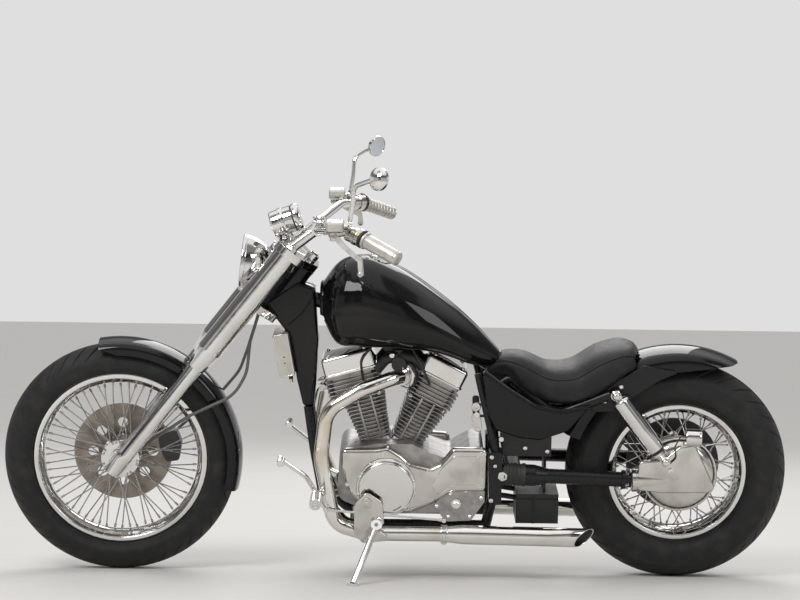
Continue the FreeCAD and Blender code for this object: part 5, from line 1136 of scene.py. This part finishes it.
covers, screws = [], []
for node, tilt, head_half, forward in CYLINDERS:
    along, across = cylinder_ways(tilt)
    turn = np.radians(np.linspace(0, 90, 9))
    levels = [(334, 1.2), (335, 0.3), (339, 0.3), (340.4, 1.4), (341, 3.2), (360, 3.6), (380, 4.0)]
    levels += [(380 + 11 * math.sin(t), 4.0 + 11 * (1 - math.cos(t))) for t in turn[1:]]
    levels += [(391.6, 24), (392.2, 44), (392.6, 58)]
    covers.append(block(levels, head_half, 76, 16, tilt, forward, steps=9))
    screws += bolt_heads([CRANK + along * 390.5 + across * (x0 - forward) + ACROSS * y0
                          for x0 in (-head_half + 24, head_half - 24) for y0 in (-54, 54)], along, 6.5, 5, 20, True)
skin("rocker_cover_castings", covers, "frame", CHROME, ["rocker_covers"], angle=36)
skin("rocker_cover_screws", screws, "frame", CHROME, angle=30)

# ---- crankcase and covers ------------------------------------------------------------------------
# Cast cases with polished covers screwed over them: the gearbox end and its drain plug behind the
# left cover, and the long left cover with a bright rolled edge.

CAST = finish("cast aluminium", lambda w: w.mix((0.44, 0.43, 0.415, 1), (0.30, 0.29, 0.28, 1),
                                                w.noise(40, 6).between(0.35, 0.75)),
              lambda w: w.noise(200, 4) * 0.25 + 0.30, metal=0.85,
              height=lambda w: w.noise(700, 4, 0.65), depth=0.0004)
BY_SLOT["cast_alloy"] = CAST

# Both tones are darkened and tinted warm to stand in for the tan ground that the covers reflect: a painted
# reflection.
POLISHED = finish("polished aluminium", lambda w: w.mix((0.64, 0.62, 0.585, 1), (0.50, 0.48, 0.45, 1),
                                                        w.noise(18, 5).between(0.4, 0.75)),
                  lambda w: w.noise(55, 5, 0.6).between(0.2, 0.9) * 0.16 + 0.09, metal=1.0,
                  height=lambda w: w.noise(30, 3), depth=0.0009)
BY_SLOT["polished_alloy"] = POLISHED

dressed("crankcase", 2.2)
gear_bolts = [np.array([x, -138.5, z]) for x,
    z in ((150, 276), (196, 282), (240, 262), (208, 206), (146, 205), (112, 236))]
skin("gearbox_bolts", bolt_heads(gear_bolts, -ACROSS, 5.5, 5, 6, False) +
     bolt_heads([np.array([168.0, -138.5, 244.0])], -ACROSS, 15.0, 6, 32, False) +
     bolt_heads([np.array([168.0, -144.5, 244.0])], -ACROSS, 10.5, 9, 6, False), "frame", CHROME, angle=30)
cover_line = [(-164, 404, 14), (-118, 404, 14), (-66, 405, 30), (-29, 411, 24), (9, 388, 14), (36, 364, 14),
              (92, 350, 16), (120, 364, 14), (156, 410, 16), (256, 410, 15), (254, 282, 15), (156, 280, 14),
              (98, 243, 18), (36, 217, 22), (-40, 212, 40), (-100, 232, 30), (-142, 276, 30), (-166, 346, 30)]
plank("left_cover_casting", cover_line, -151, -118, 13.0, "frame", POLISHED, ["left_engine_cover"], angle=44)
raised_line = [(124, 352, 10), (160, 388, 14), (234, 390, 12), (234, 302, 12), (158, 300, 14), (112, 268, 16),
    (96, 300, 16)]
plank("left_cover_panel", raised_line, -152, -148, 3.2, "frame", POLISHED, angle=44)
cover_bolts = [np.array([x, -146.5, z]) for x,
    z in ((-146, 388), (-40, 396), (24, 362), (88, 340), (240, 396), (240, 296),
                                                    (-146, 300), (96, 258), (36, 230))]
skin("left_cover_screws", bolt_heads(cover_bolts, -ACROSS, 6.5, 5.5, 20, True), "frame", CHROME, angle=30)

# ---- round cover ---------------------------------------------------------------------------------
# Chromed dish over the generator: a scalloped flange held by small screws, a step and a flat face. Near its lower
# edge a dark arc is painted shade: a black bead put where a slot's shade falls.

round_at = CRANK + np.array([0, -152.0, 0])
turns = np.linspace(0, 2 * math.pi, 240, endpoint=False)
dish = np.concatenate([[(0, 0), (0, 84.6), (1, 85.6), (7, 85.6), (8.6, 84.2), (9, 81.6), (9, 80.4), (9.8, 79.6)],
                       arc((18.5, 78.4), (22, 76.4), (23.5, 72), 8), [(23.9, 60), (24, 30), (24, 0)]])
skin("round_cover_dish", around(ring(dish, round_at, -ACROSS, angles=turns)), "frame", CHROME, ["round_cover"],
    angle=36)
screw_at = [round_at + np.array([82.4 * math.cos(t), -6.5, 82.4 * math.sin(t)]) for t in np.radians(np.arange(15,
    375, 45))]
skin("round_cover_screws", bolt_heads(screw_at, -ACROSS, 3.1, 4.4, 16, True), "frame", CHROME, angle=30)
# The black bead along this arc is painted shade, standing in for the shade inside a slot in the dish face.
slot_t = np.radians(np.linspace(-72, -48, 14))
slot_line = np.stack([round_at[0] + 66 * np.cos(slot_t), np.full(14, round_at[1] - 24.0),
    round_at[2] + 66 * np.sin(slot_t)], 1)
skin("round_cover_mark", bead(slot_line, 1.4, 8), "frame", PLASTIC, angle=40)

# ---- right engine cover --------------------------------------------------------------------------
# The matching casting on the right, with the raised clutch cover and its rim of screws.

right_line = [(-170, 262, 50), (-160, 392, 14), (-70, 400), (60, 398, 14), (150, 392, 22), (176, 300, 40),
    (120, 226, 30),
              (-60, 208, 70)]
plank("right_cover_casting", right_line, 118, 143.5, 10.0, "frame", POLISHED, ["right_engine_cover"], angle=44)
clutch_at = CRANK + np.array([70.0, 118.0, 6.0])
clutch = np.concatenate([[(24, 0), (24, 97), (25, 98), (30, 98), (31.5, 96.5), (31.5, 90)],
    arc((41, 89), (44.5, 86), (46, 80), 8),
                         [(46.6, 60), (47.2, 57), (48, 55), (48, 20), (47, 18), (47, 0)]])
skin("clutch_cover", around(ring(clutch, clutch_at, ACROSS, steps=160)), "frame", POLISHED, angle=36)
clutch_screws = [clutch_at + np.array([93.4 * math.cos(t), 31.0,
    93.4 * math.sin(t)]) for t in np.radians(np.arange(0, 360, 40))]
skin("right_cover_screws", bolt_heads(clutch_screws, ACROSS, 4.6, 5, 6, False) +
     bolt_heads([np.array([x, 141.0, z]) for x, z in ((-146, 376), (-60, 384), (40, 382), (134, 376), (-148, 286))],
                ACROSS, 5.5, 5, 20, True), "frame", CHROME, angle=30)

# ---- carburettors --------------------------------------------------------------------------------
# Dark bodies and rubber sleeves between the heads, with the plug leads and a breather hose that
# curve down from under the tank.

dressed("carburettors", 1.4, material=PLASTIC)
box_line = [(-62, 716, 8), (-44, 668, 10), (30, 668, 10), (52, 706, 8), (60, 724, 8), (-60, 724, 8)]
plank("intake_box", box_line, -56, 56, 6.0, "frame", PLASTIC, angle=44)
skin("intake_hoses", [tube([(-2, -66, 664), (-40, -66, 650), (-64, -60, 620)], (20.0,), 15.0, 24),
                      tube([(2, -66, 664), (44, -66, 654), (66, -58, 628)], (20.0,), 15.0, 24),
                      tube([(-2, 66, 664), (-40, 66, 650), (-64, 60, 620)], (20.0,), 15.0, 24),
                      tube([(2, 66, 664), (44, 66, 654), (66, 58, 628)], (20.0,), 15.0,
                          24)], "frame", RUBBER, angle=50)
plug_leads = [tube([(-60, -40, 720), (-66, -84, 712), (-112, -86, 650), (-104, -76, 590)], (30.0, 40.0), 3.6, 12),
              tube([(20, -40, 710), (34, -78, 690), (62, -84, 640), (88, -76, 580)], (30.0, 40.0), 3.6, 12),
              tube([(-20, 20, 706), (-4, -30, 690), (0, -60, 668)], (30.0,), 6.0, 16),
              tube([(-60, 40, 720), (-66, 84, 712), (-112, 86, 650), (-104, 76, 590)], (30.0, 40.0), 3.6, 12),
              tube([(20, 40, 710), (34, 78, 690), (62, 84, 640), (88, 76, 580)], (30.0, 40.0), 3.6, 12)]
skin("plug_leads", plug_leads, "frame", RUBBER, angle=50)

# ---- exhaust pipes -------------------------------------------------------------------------------
# Chromed pipes that sweep forward and down from each port and run back low beside the engine, each
# with a clamp ring at the port, then a cone into a straight muffler cut off at a slant.

HEADERS = (("left", [(22, -66, 606), (-20, -112, 604), (-108, -152, 578), (-206, -162, 520), (-222, -165, 380),
                     (-182, -165, 186), (-90, -165, 160), (132, -165, 160)], (40, 90, 80, 150, 62, 80), 12),
           ("right", [(-176, 60, 560), (-230, 112, 540), (-250, 160, 440), (-222, 165, 300), (-172, 165, 178),
                      (-90, 165, 160), (132, 165, 160)], (40, 70, 150, 62, 80), 30))
PIPE = finish("pipe chrome", lambda w: w.mix((0.80, 0.79, 0.76, 1), (0.62, 0.55, 0.44, 1),
    w.noise(7, 4).between(0.45, 0.8)),
              lambda w: w.noise(24, 5).between(0.35, 0.8) * 0.10 + 0.045, metal=1.0, height=lambda w: w.noise(16,
                  2), depth=0.0008)
pipes, bands = [], []
for side_name, path, radii, band_at in HEADERS:
    path = [np.array(p, float) for p in path]
    pipes.append(tube(path, radii, 21.4, 40))
    way = unit(path[1] - path[0])
    bands.append(around(ring([(0, 18), (0, 26.6), (1, 27.4), (10, 27.4), (11, 26.6), (11, 18)],
        path[0] + way * band_at,
                             way, (0, 0, 1), 48)))
skin("header_pipes", pipes, "frame", PIPE, ["exhaust_pipes"], angle=50)
skin("port_rings", bands, "frame", CHROME, angle=32)
port_at, port_way = np.array([22.0, -66, 606]), unit(np.array([-42.0, -46, -2]))
skin("port_flange", around(ring([(-8, 20), (-8, 37), (-5, 39), (3, 39), (6, 36), (6, 20)], port_at, port_way,
    (0, 0, 1), 64)), "frame",
     PLASTIC, angle=40)
skin("port_flange_rim", around(ring([(4, 28), (4, 34), (6.5, 36.5), (10, 36), (12, 31), (12, 28)], port_at, port_way,
    (0, 0, 1), 64)),
     "frame", CHROME, angle=40)

muffler_parts, clamps, clamp_bolts, insides = [], [], [], []
for s in (-1, 1):
    start, cut_at = np.array([132.0, s * 165.0, 160.0]), np.array([537.0, s * 165.0, 154.0])
    way, slash = unit(cut_at - start), unit(np.array([1, 0.95 * s, -0.62]))
    angles = np.linspace(0, 2 * math.pi, 96, endpoint=False)
    out1 = unit(np.cross(way, ACROSS))
    radial = np.cos(angles)[:, None] * out1 + np.sin(angles)[:, None] * unit(np.cross(way, out1))
    rows = [start + way * a + radial * r for a,
        r in ((2, 22.0), (12, 23.0), (18, 23.4), (48, 27.0), (56, 27.5), (90, 27.5),
                                                       (200, 27.5), (300, 27.5))]
    for r, back in ((27.5, 1.2), (27.0, 0.2), (24.9, 0.2), (24.5, 1.2)):
        reach = ((cut_at - start - radial * r) @ slash) / (way @ slash) - back
        rows.append(start + way * reach[:, None] + radial * r)
    muffler_parts.append(around(np.array(rows).transpose(1, 0, 2)))
    inner = [start + way * (((cut_at - start - radial * 24.5) @ slash) / (way @ slash) - 1.3)[:,
        None] + radial * 24.5,
             start + way * 320.0 + radial * 24.5, start + way * 318.0 + radial * 6.0,
             start + way * 318.0 + radial * 0.01]
    insides.append(around(np.array(inner).transpose(1, 0, 2)))
    clamps.append(around(ring([(-7.5, 21), (-7.5, 26.6), (-6, 27.4), (-3, 27.4), (-2, 26.2), (6, 26.2), (7, 27.4),
        (10, 27.4), (11.5, 26.6),
                               (11.5, 21)], start, way, (0, 0, 1), 72)))
    foot = start + np.array([2, 0, -24.0])
    clamps.append(around(ring([(-7, 0), (-7, 6.5), (7, 6.5), (7, 0)], foot + (0, 0, -1), ACROSS, (0, 0, 1), 24)))
    clamp_bolts += bolt_heads([foot + (0, -7, -1)], -ACROSS, 5.0, 5, 6, False) + bolt_heads([foot + (0, 7, -1)],
        ACROSS, 5.0, 5, 6, False)
skin("muffler_tubes", muffler_parts, "frame", PIPE, ["mufflers"], angle=40)
skin("muffler_insides", insides, "frame", PLASTIC, angle=40)
skin("muffler_clamps", clamps, "frame", CHROME, angle=32)
skin("clamp_bolts", clamp_bolts, "frame", CHROME, angle=30)

# ---- swingarm ------------------------------------------------------------------------------------
# Enamelled steel: the left arm is the drive shaft's tube, with a ribbed rubber boot at the gearbox
# and a flange at the rear; the right arm is a plain bar, joined to it behind the engine.

dressed("swingarm", 1.6)
pivot_left, shaft_way = np.array([300.0, -122.0, 330.0]), unit(np.array([0.9993, 0, -0.036]))
t = np.linspace(0, 1, 70)
boot = np.concatenate([[(4, 28), (4, 33.4)],
    np.stack([6 + 52 * t, 33.2 + 1.3 * np.cos(t * 10 * math.pi) - 1.0 * t], 1),
                       [(60, 33.6), (66, 33.6), (66, 29)]])
skin("shaft_boot", around(ring(boot, pivot_left, shaft_way, steps=64)), "frame", RUBBER, angle=50)
flange = [(344, 20), (344, 26), (345.5, 27.5), (354, 27.5), (355.5, 26), (356, 22), (356, 20)]
skin("shaft_flange", around(ring(flange, pivot_left, shaft_way, steps=48)), "frame", ENAMEL, angle=40)
flange_at = pivot_left + shaft_way * 356
skin("shaft_bolts", bolt_heads([flange_at + np.array([0, 24 * math.cos(a),
    24 * math.sin(a)]) for a in np.radians((125, 200, 240, 300))],
                               shaft_way, 4.6, 7, 6, False), "frame", CHROME, angle=30)

# ---- final drive ---------------------------------------------------------------------------------
# Polished housing of the bevel gear: a dished cover over the hub, the snout that takes the shaft, a
# flat cover plate with a sloping edge, and a chromed can on its upper corner.

drive_at = REAR_AXLE + np.array([0, -72.0, 8.0])
dome_profile = np.concatenate([[(0, 0), (0, 103), (2, 104.4), (12, 109.2), (14, 110), (27, 110), (29, 108.6),
    (29.4, 105)],
                               arc((30.4, 104), (46, 93), (54.6, 74), 12), [(56.6, 66), (58, 50), (58, 0)]])
skin("drive_housing", [around(ring(dome_profile, drive_at, -ACROSS, steps=160)),
                       around(ring([(0, 0), (0, 33), (1.2, 34), (12, 34), (14, 32.6), (120, 32.6), (140, 32.6),
                           (140, 0)],
                                   (REAR_AXLE[0] - 140, -122, 316), (140, 6, 6), steps=56))],
     "frame", POLISHED, ["final_drive"], angle=34)
drive_line = [(688, 292, 9), (690, 378, 14), (760, 384, 20), (806, 424, 12), (850, 430, 12), (912, 300, 9),
    (890, 286, 10),
              (760, 284, 20)]
plank("drive_cover_plate", drive_line, -150, -128, 7.0, "frame", POLISHED, angle=44)
can_way = unit(np.array([46.0, 0, -2.0]))
can = [(0, 0), (0, 21), (1.2, 23.6), (3.4, 24.8), (8, 25), (38, 25), (42.6, 24.8), (45, 23.4), (46, 21), (46, 17),
    (44.6, 16), (44.6, 0)]
skin("drive_can", around(ring(can, (822, -138, 448), can_way, steps=64)), "frame", CHROME, angle=32)
skin("drive_bolts", bolt_heads([np.array([782.0, -150.0, 352.0])], -ACROSS, 8.5, 5, 6, True) +
     bolt_heads([drive_at + np.array([101 * math.sin(a), -29.0, 101 * math.cos(a)]) for a in np.radians(np.arange(75,
         250, 25))],
                -ACROSS, 4.2, 4.5, 6, False), "frame", CHROME, angle=30)
skin("wear_cable", [tube([(806, -152, 452), (790, -158, 424), (796, -158, 392), (776, -154, 372)], (16.0, 14.0), 2.0,
    10)],
     "frame", RUBBER, angle=50)

# ---- shock absorbers -----------------------------------------------------------------------------
# A pair of dampers under chromed covers, with rubber-bushed eyes on studs and domed nuts.

shock_top, shock_low = np.array([618.0, -148.0, 572.0]), np.array([764.0, -148.0, 380.0])
shock_way = unit(shock_low - shock_top)
shroud = np.concatenate([[(13, 0), (13, 14), (15, 15)], arc((17, 20.5), (20.5, 25), (27, 27), 8),
    [(60, 27), (120, 27), (196, 27),
                         (198, 26.4), (198.6, 25), (198.6, 22.8), (198.6, 0)]])
bush = [(192, 0), (192, 21), (204, 20.6), (208, 19), (210, 16), (210, 0)]
collar = [(208, 0), (208, 18), (209, 19.4), (216, 19.4), (219, 17), (226, 14), (226, 0)]
eyes = [around(ring([(-14, 8), (-14, 13.4), (-13, 14.8), (13, 14.8), (14, 13.4), (14, 8)], at, ACROSS, (0, 0, 1), 40))
        for at in (shock_top, shock_low)]
necks = [tube([shock_top, shock_top + shock_way * 20], (), 8.6, 20),
    tube([shock_low - shock_way * 22, shock_low], (), 11.5, 24)]
skin("shock_shrouds", both([around(ring(shroud, shock_top, shock_way, (0, 1, 0), 72)),
    around(ring(collar, shock_top, shock_way, (0, 1, 0), 48))] +
                           eyes + necks), "frame", CHROME, ["shock_absorbers"], angle=34)
skin("shock_bushes", both([around(ring(bush, shock_top, shock_way, (0, 1, 0), 48))] +
                          [around(ring([(-14.6, 0), (-14.6, 9), (14.6, 9), (14.6, 0)], at, ACROSS, (0, 0, 1), 32))
                           for at in (shock_top, shock_low)]), "frame", RUBBER, angle=40)
acorn = np.concatenate([[(0, 0), (0, 12), (1.6, 12.6), (2.6, 11.4)], arc((7, 11.2), (12.4, 8.2), (15, 0), 9)])
skin("shock_nuts", both([around(ring(acorn, at - ACROSS * 14.6, -ACROSS, (0, 0, 1), 36)) for at in (shock_top,
    shock_low)]),
     "frame", CHROME, angle=34)

# ---- rear axle, brakes and hoses -----------------------------------------------------------------
# The rear axle and its nut, both calipers with their pins and bleed screws, the two discs, and the
# rubber hoses that run down behind the fork.

DISC_STEEL = finish("brake disc steel", lambda w: w.mix((0.34, 0.30, 0.26, 1), (0.22, 0.18, 0.15, 1),
                                                        w.noise(25, 5).between(0.35, 0.7)),
                    lambda w: w.noise(120, 4) * 0.2 + 0.26, metal=0.9,
                    height=lambda w: w.noise(500, 2, stretch=(1, 0.1, 1)), depth=0.0001)
BY_SLOT["disc_steel"] = DISC_STEEL

CALIPER = finish("caliper paint", (0.035, 0.035, 0.036), lambda w: w.noise(160, 4) * 0.2 + 0.3,
                 height=lambda w: w.noise(500, 3), depth=0.0003)
BY_SLOT["caliper_paint"] = CALIPER

HOSE = finish("grey hose", (0.10, 0.10, 0.10), lambda w: w.noise(300, 3) * 0.2 + 0.3)
BY_SLOT["hose_rubber"] = HOSE

dressed("rear_axle", 0.8)
dressed("rear_caliper", 2.4)
dressed("front_caliper", 2.4)
dressed("fork_hoses", 0.0)
dressed("front_axle", 0.8)
dressed("triple_clamps", 1.6)
dressed("front_disc", 0.4)
dressed("rear_disc", 0.4, material=CALIPER)
hub_bolts = [FRONT_AXLE + np.array([36 * math.sin(a), 57.0, 36 * math.cos(a)]) for a in np.radians(np.arange(0, 360,
    60))]
skin("front_disc_bolts", bolt_heads(hub_bolts, ACROSS, 5.0, 4, 16,
    True) + bolt_heads([p * (1, 0, 1) + (0, 52.0, 0) for p in hub_bolts],
                                                                                  -ACROSS, 5.0, 4, 16, True),
     "front_wheel", CHROME, angle=30)
rear_bolts = [REAR_AXLE + np.array([37 * math.sin(a), 67.0, 37 * math.cos(a)]) for a in np.radians(np.arange(0, 360,
    60))]
skin("rear_disc_bolts", bolt_heads(rear_bolts, ACROSS, 5.0, 3, 16, True), "rear_wheel", CHROME, angle=30)

# ---- battery box and its tray --------------------------------------------------------------------
# A plain black plastic box hung low behind the engine, with a lid line and a strap; above it the
# tray for the electrics, with a few fixings; a key switch and a small plate stand on two short
# arms from the frame's left tube.

dressed("battery_box", 3.0)
skin("battery_lid", [bead(bent([(344, y, 243), (406, y, 243), (468, y, 243)], (0.1,)), 1.6, 8) for y in (-75, 75)] +
     [bead(bent([(394, -75.6, 170), (394, -75.6, 257)], ()), 3.0, 8)], "frame", PLASTIC, angle=40)
skin("frame_fixings", bolt_heads([np.array(p, float) for p in ((366, -95, 401), (430, -95, 392), (344, -95, 440))],
    -ACROSS, 6.5, 6, 20, True) +
     bolt_heads([np.array([278.0, -149.0, 360.0])], -ACROSS, 5.5, 5, 20, True) +
     [around(ring([(0, 0), (0, 7), (8, 7), (8, 0)], (296, -104, 429), -ACROSS, steps=24))], "frame", CHROME, angle=30)
key_at = np.array([222.0, -94.0, 520.0])
skin("key_switch", [around(ring([(-16, 0), (-16, 14), (0, 14), (2, 12), (2, 5), (0, 4.5), (0, 0)], key_at,
    (0, -1, 0.15), steps=36)),
                    around(ring([(-4, 0), (-4, 9), (12, 9), (13, 8), (13, 0)], key_at + (3, 2, -22), (0, -1, 0),
                        steps=32))],
     "frame", CHROME, angle=32)
skin("key_switch_body", [tube([(222, -60, 540), (222, -82, 524), (224, -84, 470)], (8.0,), 10.0, 20)], "frame",
    PLASTIC, angle=50)
skin("switch_bracket", [tube([(224, -86, 527), (250, -101, 527)], (), 4.5, 16),
                        tube([(226, -93, 494), (254, -106, 496)], (), 4.0, 16)], "frame", PLASTIC, angle=50)
oval_line = [(207, 498, 12), (234, 506, 12), (242, 452, 10), (220, 444, 10)]
plank("oval_plate", oval_line, -97, -92, 1.5, "frame", POLISHED, angle=44)
skin("oval_plate_screws", bolt_heads([np.array([219.0, -97, 494]), np.array([229.0, -97, 456])], -ACROSS, 4.6, 3, 16,
    True), "frame",
     CHROME, angle=30)

# ---- regulator -----------------------------------------------------------------------------------
# A shallow pale box across the frame behind the front wheel, with a rim round each end, two small
# rivets and a rubber-sleeved connector below.

PALE = finish("pale satin alloy", lambda w: w.mix((0.60, 0.57, 0.52, 1), (0.48, 0.45, 0.41, 1),
    w.noise(14, 5).between(0.4, 0.8)),
              lambda w: w.noise(120, 4) * 0.16 + 0.30, metal=0.7, height=lambda w: w.noise(300, 3), depth=0.0002)
box_line = [(-368, 715, 5), (-323, 723, 5), (-301, 598, 5), (-345, 590, 5)]
plank("regulator_case", box_line, -58.5, 58.5, 2.5, "frame", PALE, ["regulator_box"], angle=44)
edge_line = rounded([(-366, 713, 5), (-325, 720.4, 5), (-303.4, 600, 5), (-343, 592.6, 5)])
edge_line = np.stack([np.append(edge_line[:, 0], edge_line[:2, 0]), np.full(len(edge_line) + 2, -58.2),
                      np.append(edge_line[:, 1], edge_line[:2, 1])], 1)
skin("regulator_rims", both(bead(edge_line, 1.6, 8)), "frame", CHROME, angle=50)
skin("regulator_rivets", bolt_heads([np.array([-333.0, -57.5, 652.0]), np.array([-331.0, -57.5, 634.0])], -ACROSS,
    2.2, 2.4, 12, False),
     "frame", PLASTIC, angle=40)
skin("regulator_plug", [around(ring([(-2, 0), (-2, 8.4), (9, 8.4), (10, 6.6), (20, 6.0), (20, 0)], (-318, 0, 596),
    (4, 0, -30), steps=28)),
                        around(ring([(0, 0), (0, 6), (8, 6), (8, 0)], (-322, -42, 590), (0, 0, -1), steps=24))],
     "frame", RUBBER, angle=40)
skin("regulator_plug_tips", [around(ring([(20, 0), (20, 5), (30, 5), (31, 0)], (-318, 0, 596), (4, 0, -30),
    steps=28)),
                             around(ring([(8, 0), (8, 7), (14, 7), (15, 5), (22, 5), (22, 0)], (-322, -42, 590),
                                 (0, 0, -1), steps=24))],
     "frame", CHROME, angle=32)

# ---- stand bracket and side stand ----------------------------------------------------------------
# A forged plate on an arm from the lower rail, with a boss and a nut, and the chromed leg that turns
# on its pin.

bracket_line = [(-120, 262, 14), (-90, 294, 16), (-44, 264, 20), (-38, 200, 10), (-58, 184, 8), (-28, 164, 5),
    (-30, 150, 5),
                (-98, 142, 12), (-124, 166, 12), (-124, 240, 20)]
plank("stand_plate", bracket_line, -208, -200, 2.6, "frame", POLISHED, ["stand_bracket"], angle=44)
skin("stand_arm", [tube([(-88, -86, 166), (-88, -132, 206), (-88, -150, 212), (-88, -203, 212)], (20, 10), 9.8, 24),
                   around(ring([(0, 0), (0, 14), (1.5, 15.5), (7, 15.5), (8.5, 14), (8.5, 9), (7, 8.4), (7, 0)],
                       (-88, -206.5, 262), -ACROSS,
                               steps=40))], "frame", POLISHED, angle=36)
skin("stand_plate_bolts", bolt_heads([np.array([-88.0, -213.5, 262.0])], -ACROSS, 6.5, 3.5, 6, True) +
     bolt_heads([np.array([-52.0, -208.0, 214.0])], -ACROSS, 7, 7, 6, False), "frame", CHROME, angle=30)
dressed("side_stand", 1.2)

# ---- foot controls -------------------------------------------------------------------------------
# Forward pegs turned with grooves, each on a bent arm from the frame, the long pedals in front of
# them and the thin rod that runs back to the gear lever.

peg = [(0, 0), (0, 12), (1, 13), (9, 13)]
for k in range(9):
    peg += [(10 + 9.6 * k, 15.4), (11 + 9.6 * k, 16.9), (16.4 + 9.6 * k, 16.9), (17.4 + 9.6 * k, 15.4)]
peg += [(97, 15), (98, 17), (103, 17), (104, 15.6), (104, 9), (103, 8), (103, 0)]
pad = [(0, 0), (0, 9.6), (1, 11)]
for k in range(5):
    pad += [(4 + 10.0 * k, 11), (5 + 10.0 * k, 9.8), (7 + 10.0 * k, 9.8), (8 + 10.0 * k, 11)]
pad += [(54.6, 11), (56, 9.4), (56, 0)]
legs = [around(ring(peg, (-232, -196, 280), -ACROSS, steps=48)),
    around(ring(pad, (-332, -206, 388), -ACROSS, steps=36)),
        tube([(-176, -101, 262), (-214, -150, 268), (-232, -198, 280)], (30.0,), 10.8, 24),
        tube([(-232, -182, 280), (-262, -204, 336), (-332, -214, 388)], (50.0,), 7.0, 20),
        around(ring([(-9, 0), (-9, 12.4), (-8, 13.4), (8, 13.4), (9, 12.4), (9, 0)], (-232, -184, 280), ACROSS,
            steps=36))]
skin("pegs_and_pedals", both(legs), "frame", CHROME, ["foot_controls"], angle=34)
rod_parts = [tube([(-232, -201, 280), (-206, -201, 238)], (), 5.4, 16),
    tube([(-206, -201, 238), (133, -182, 206)], (), 3.4, 16),
             tube([(133, -138, 206), (133, -190, 206)], (), 8.6, 24)]
for at, y in ((np.array([-206.0, -201.0, 238.0]), 7), (np.array([133.0, -182.0, 206.0]), 7)):
    rod_parts.append(around(ring([(-7, 0), (-7, 6), (-5, 7), (5, 7), (7, 6), (7, 0)], at, ACROSS, steps=28)))
    rod_parts.append(tube([at, at + np.array([14.0 if at[0] < 0 else -14.0, 0, -1.3 if at[0] < 0 else 1.3])], (),
        5.0, 16))
skin("gear_linkage", rod_parts, "frame", CHROME, angle=34)

# ---- hand controls -------------------------------------------------------------------------------
# Chromed switch houses and lever brackets, each with its fluid pot, a lid held by two screws, ball
# ended levers, and a coloured button on each side.

dressed("hand_controls", 1.4)
grip_way = unit(np.array([-22.0, -405, 1006]) - np.array([-112.0, -338, 1046]))
grip_root = np.array([-22.0, -405, 1006]) - grip_way * 110
near = grip_root - grip_way * 3
ahead = unit(np.array([-0.80, -0.25, -0.10]))
pot_at = near - grip_way * 56 + ahead * 40 + np.array([0, 6, 4])
lid_screws = [pot_at + np.array([x0, y0, 29.5]) for x0, y0 in ((-14, -20), (14, 20))]
skin("pot_screws", both(bolt_heads(lid_screws, (0, 0, 1), 4.0, 2.6, 16, True)), "fork", CHROME, angle=30)
RED = finish("red button", (0.42, 0.02, 0.02), 0.35)
YELLOW = finish("yellow button", (0.62, 0.46, 0.08), 0.35)
button_at = near - grip_way * 14 + unit(np.array([0.3, -0.35, 0.88])) * 23.0
up_button = unit(np.array([0.3, -0.35, 0.88]))
low_way = unit(np.array([0.35, -0.9, 0.10]))
button = [(-3, 0), (-3, 8), (3, 8), (4.4, 6.6), (5, 0)]
skin("stop_button", [around(ring(button, button_at * (1, -1, 1), up_button * (1, -1, 1), steps=28))], "fork", RED,
    angle=40)
turn_at = near - grip_way * 12 + unit(low_way - grip_way * (low_way @ grip_way)) * 23.0
skin("turn_button", [around(ring([(-3, 0), (-3, 5.4), (3, 5.4), (4, 4.4), (4.4, 0)], turn_at,
                                 unit(low_way - grip_way * (low_way @ grip_way)), steps=24))], "fork", YELLOW,
                                 angle=40)
clamp_ring = [(-4, 21), (-4, 25), (-3, 25.8), (3, 25.8), (4, 25), (4, 21)]
skin("house_bands", both([around(ring(clamp_ring, near - grip_way * 4, grip_way, steps=48))]), "fork", PLASTIC,
    angle=40)

# ---- the frame's own pieces ----------------------------------------------------------------------
# Every imported piece takes the finish of its slot.

for node, thing in frame["nodes"].items():
    thing.data.materials.clear()
    thing.data.materials.append(BY_SLOT[slot_of[node]])
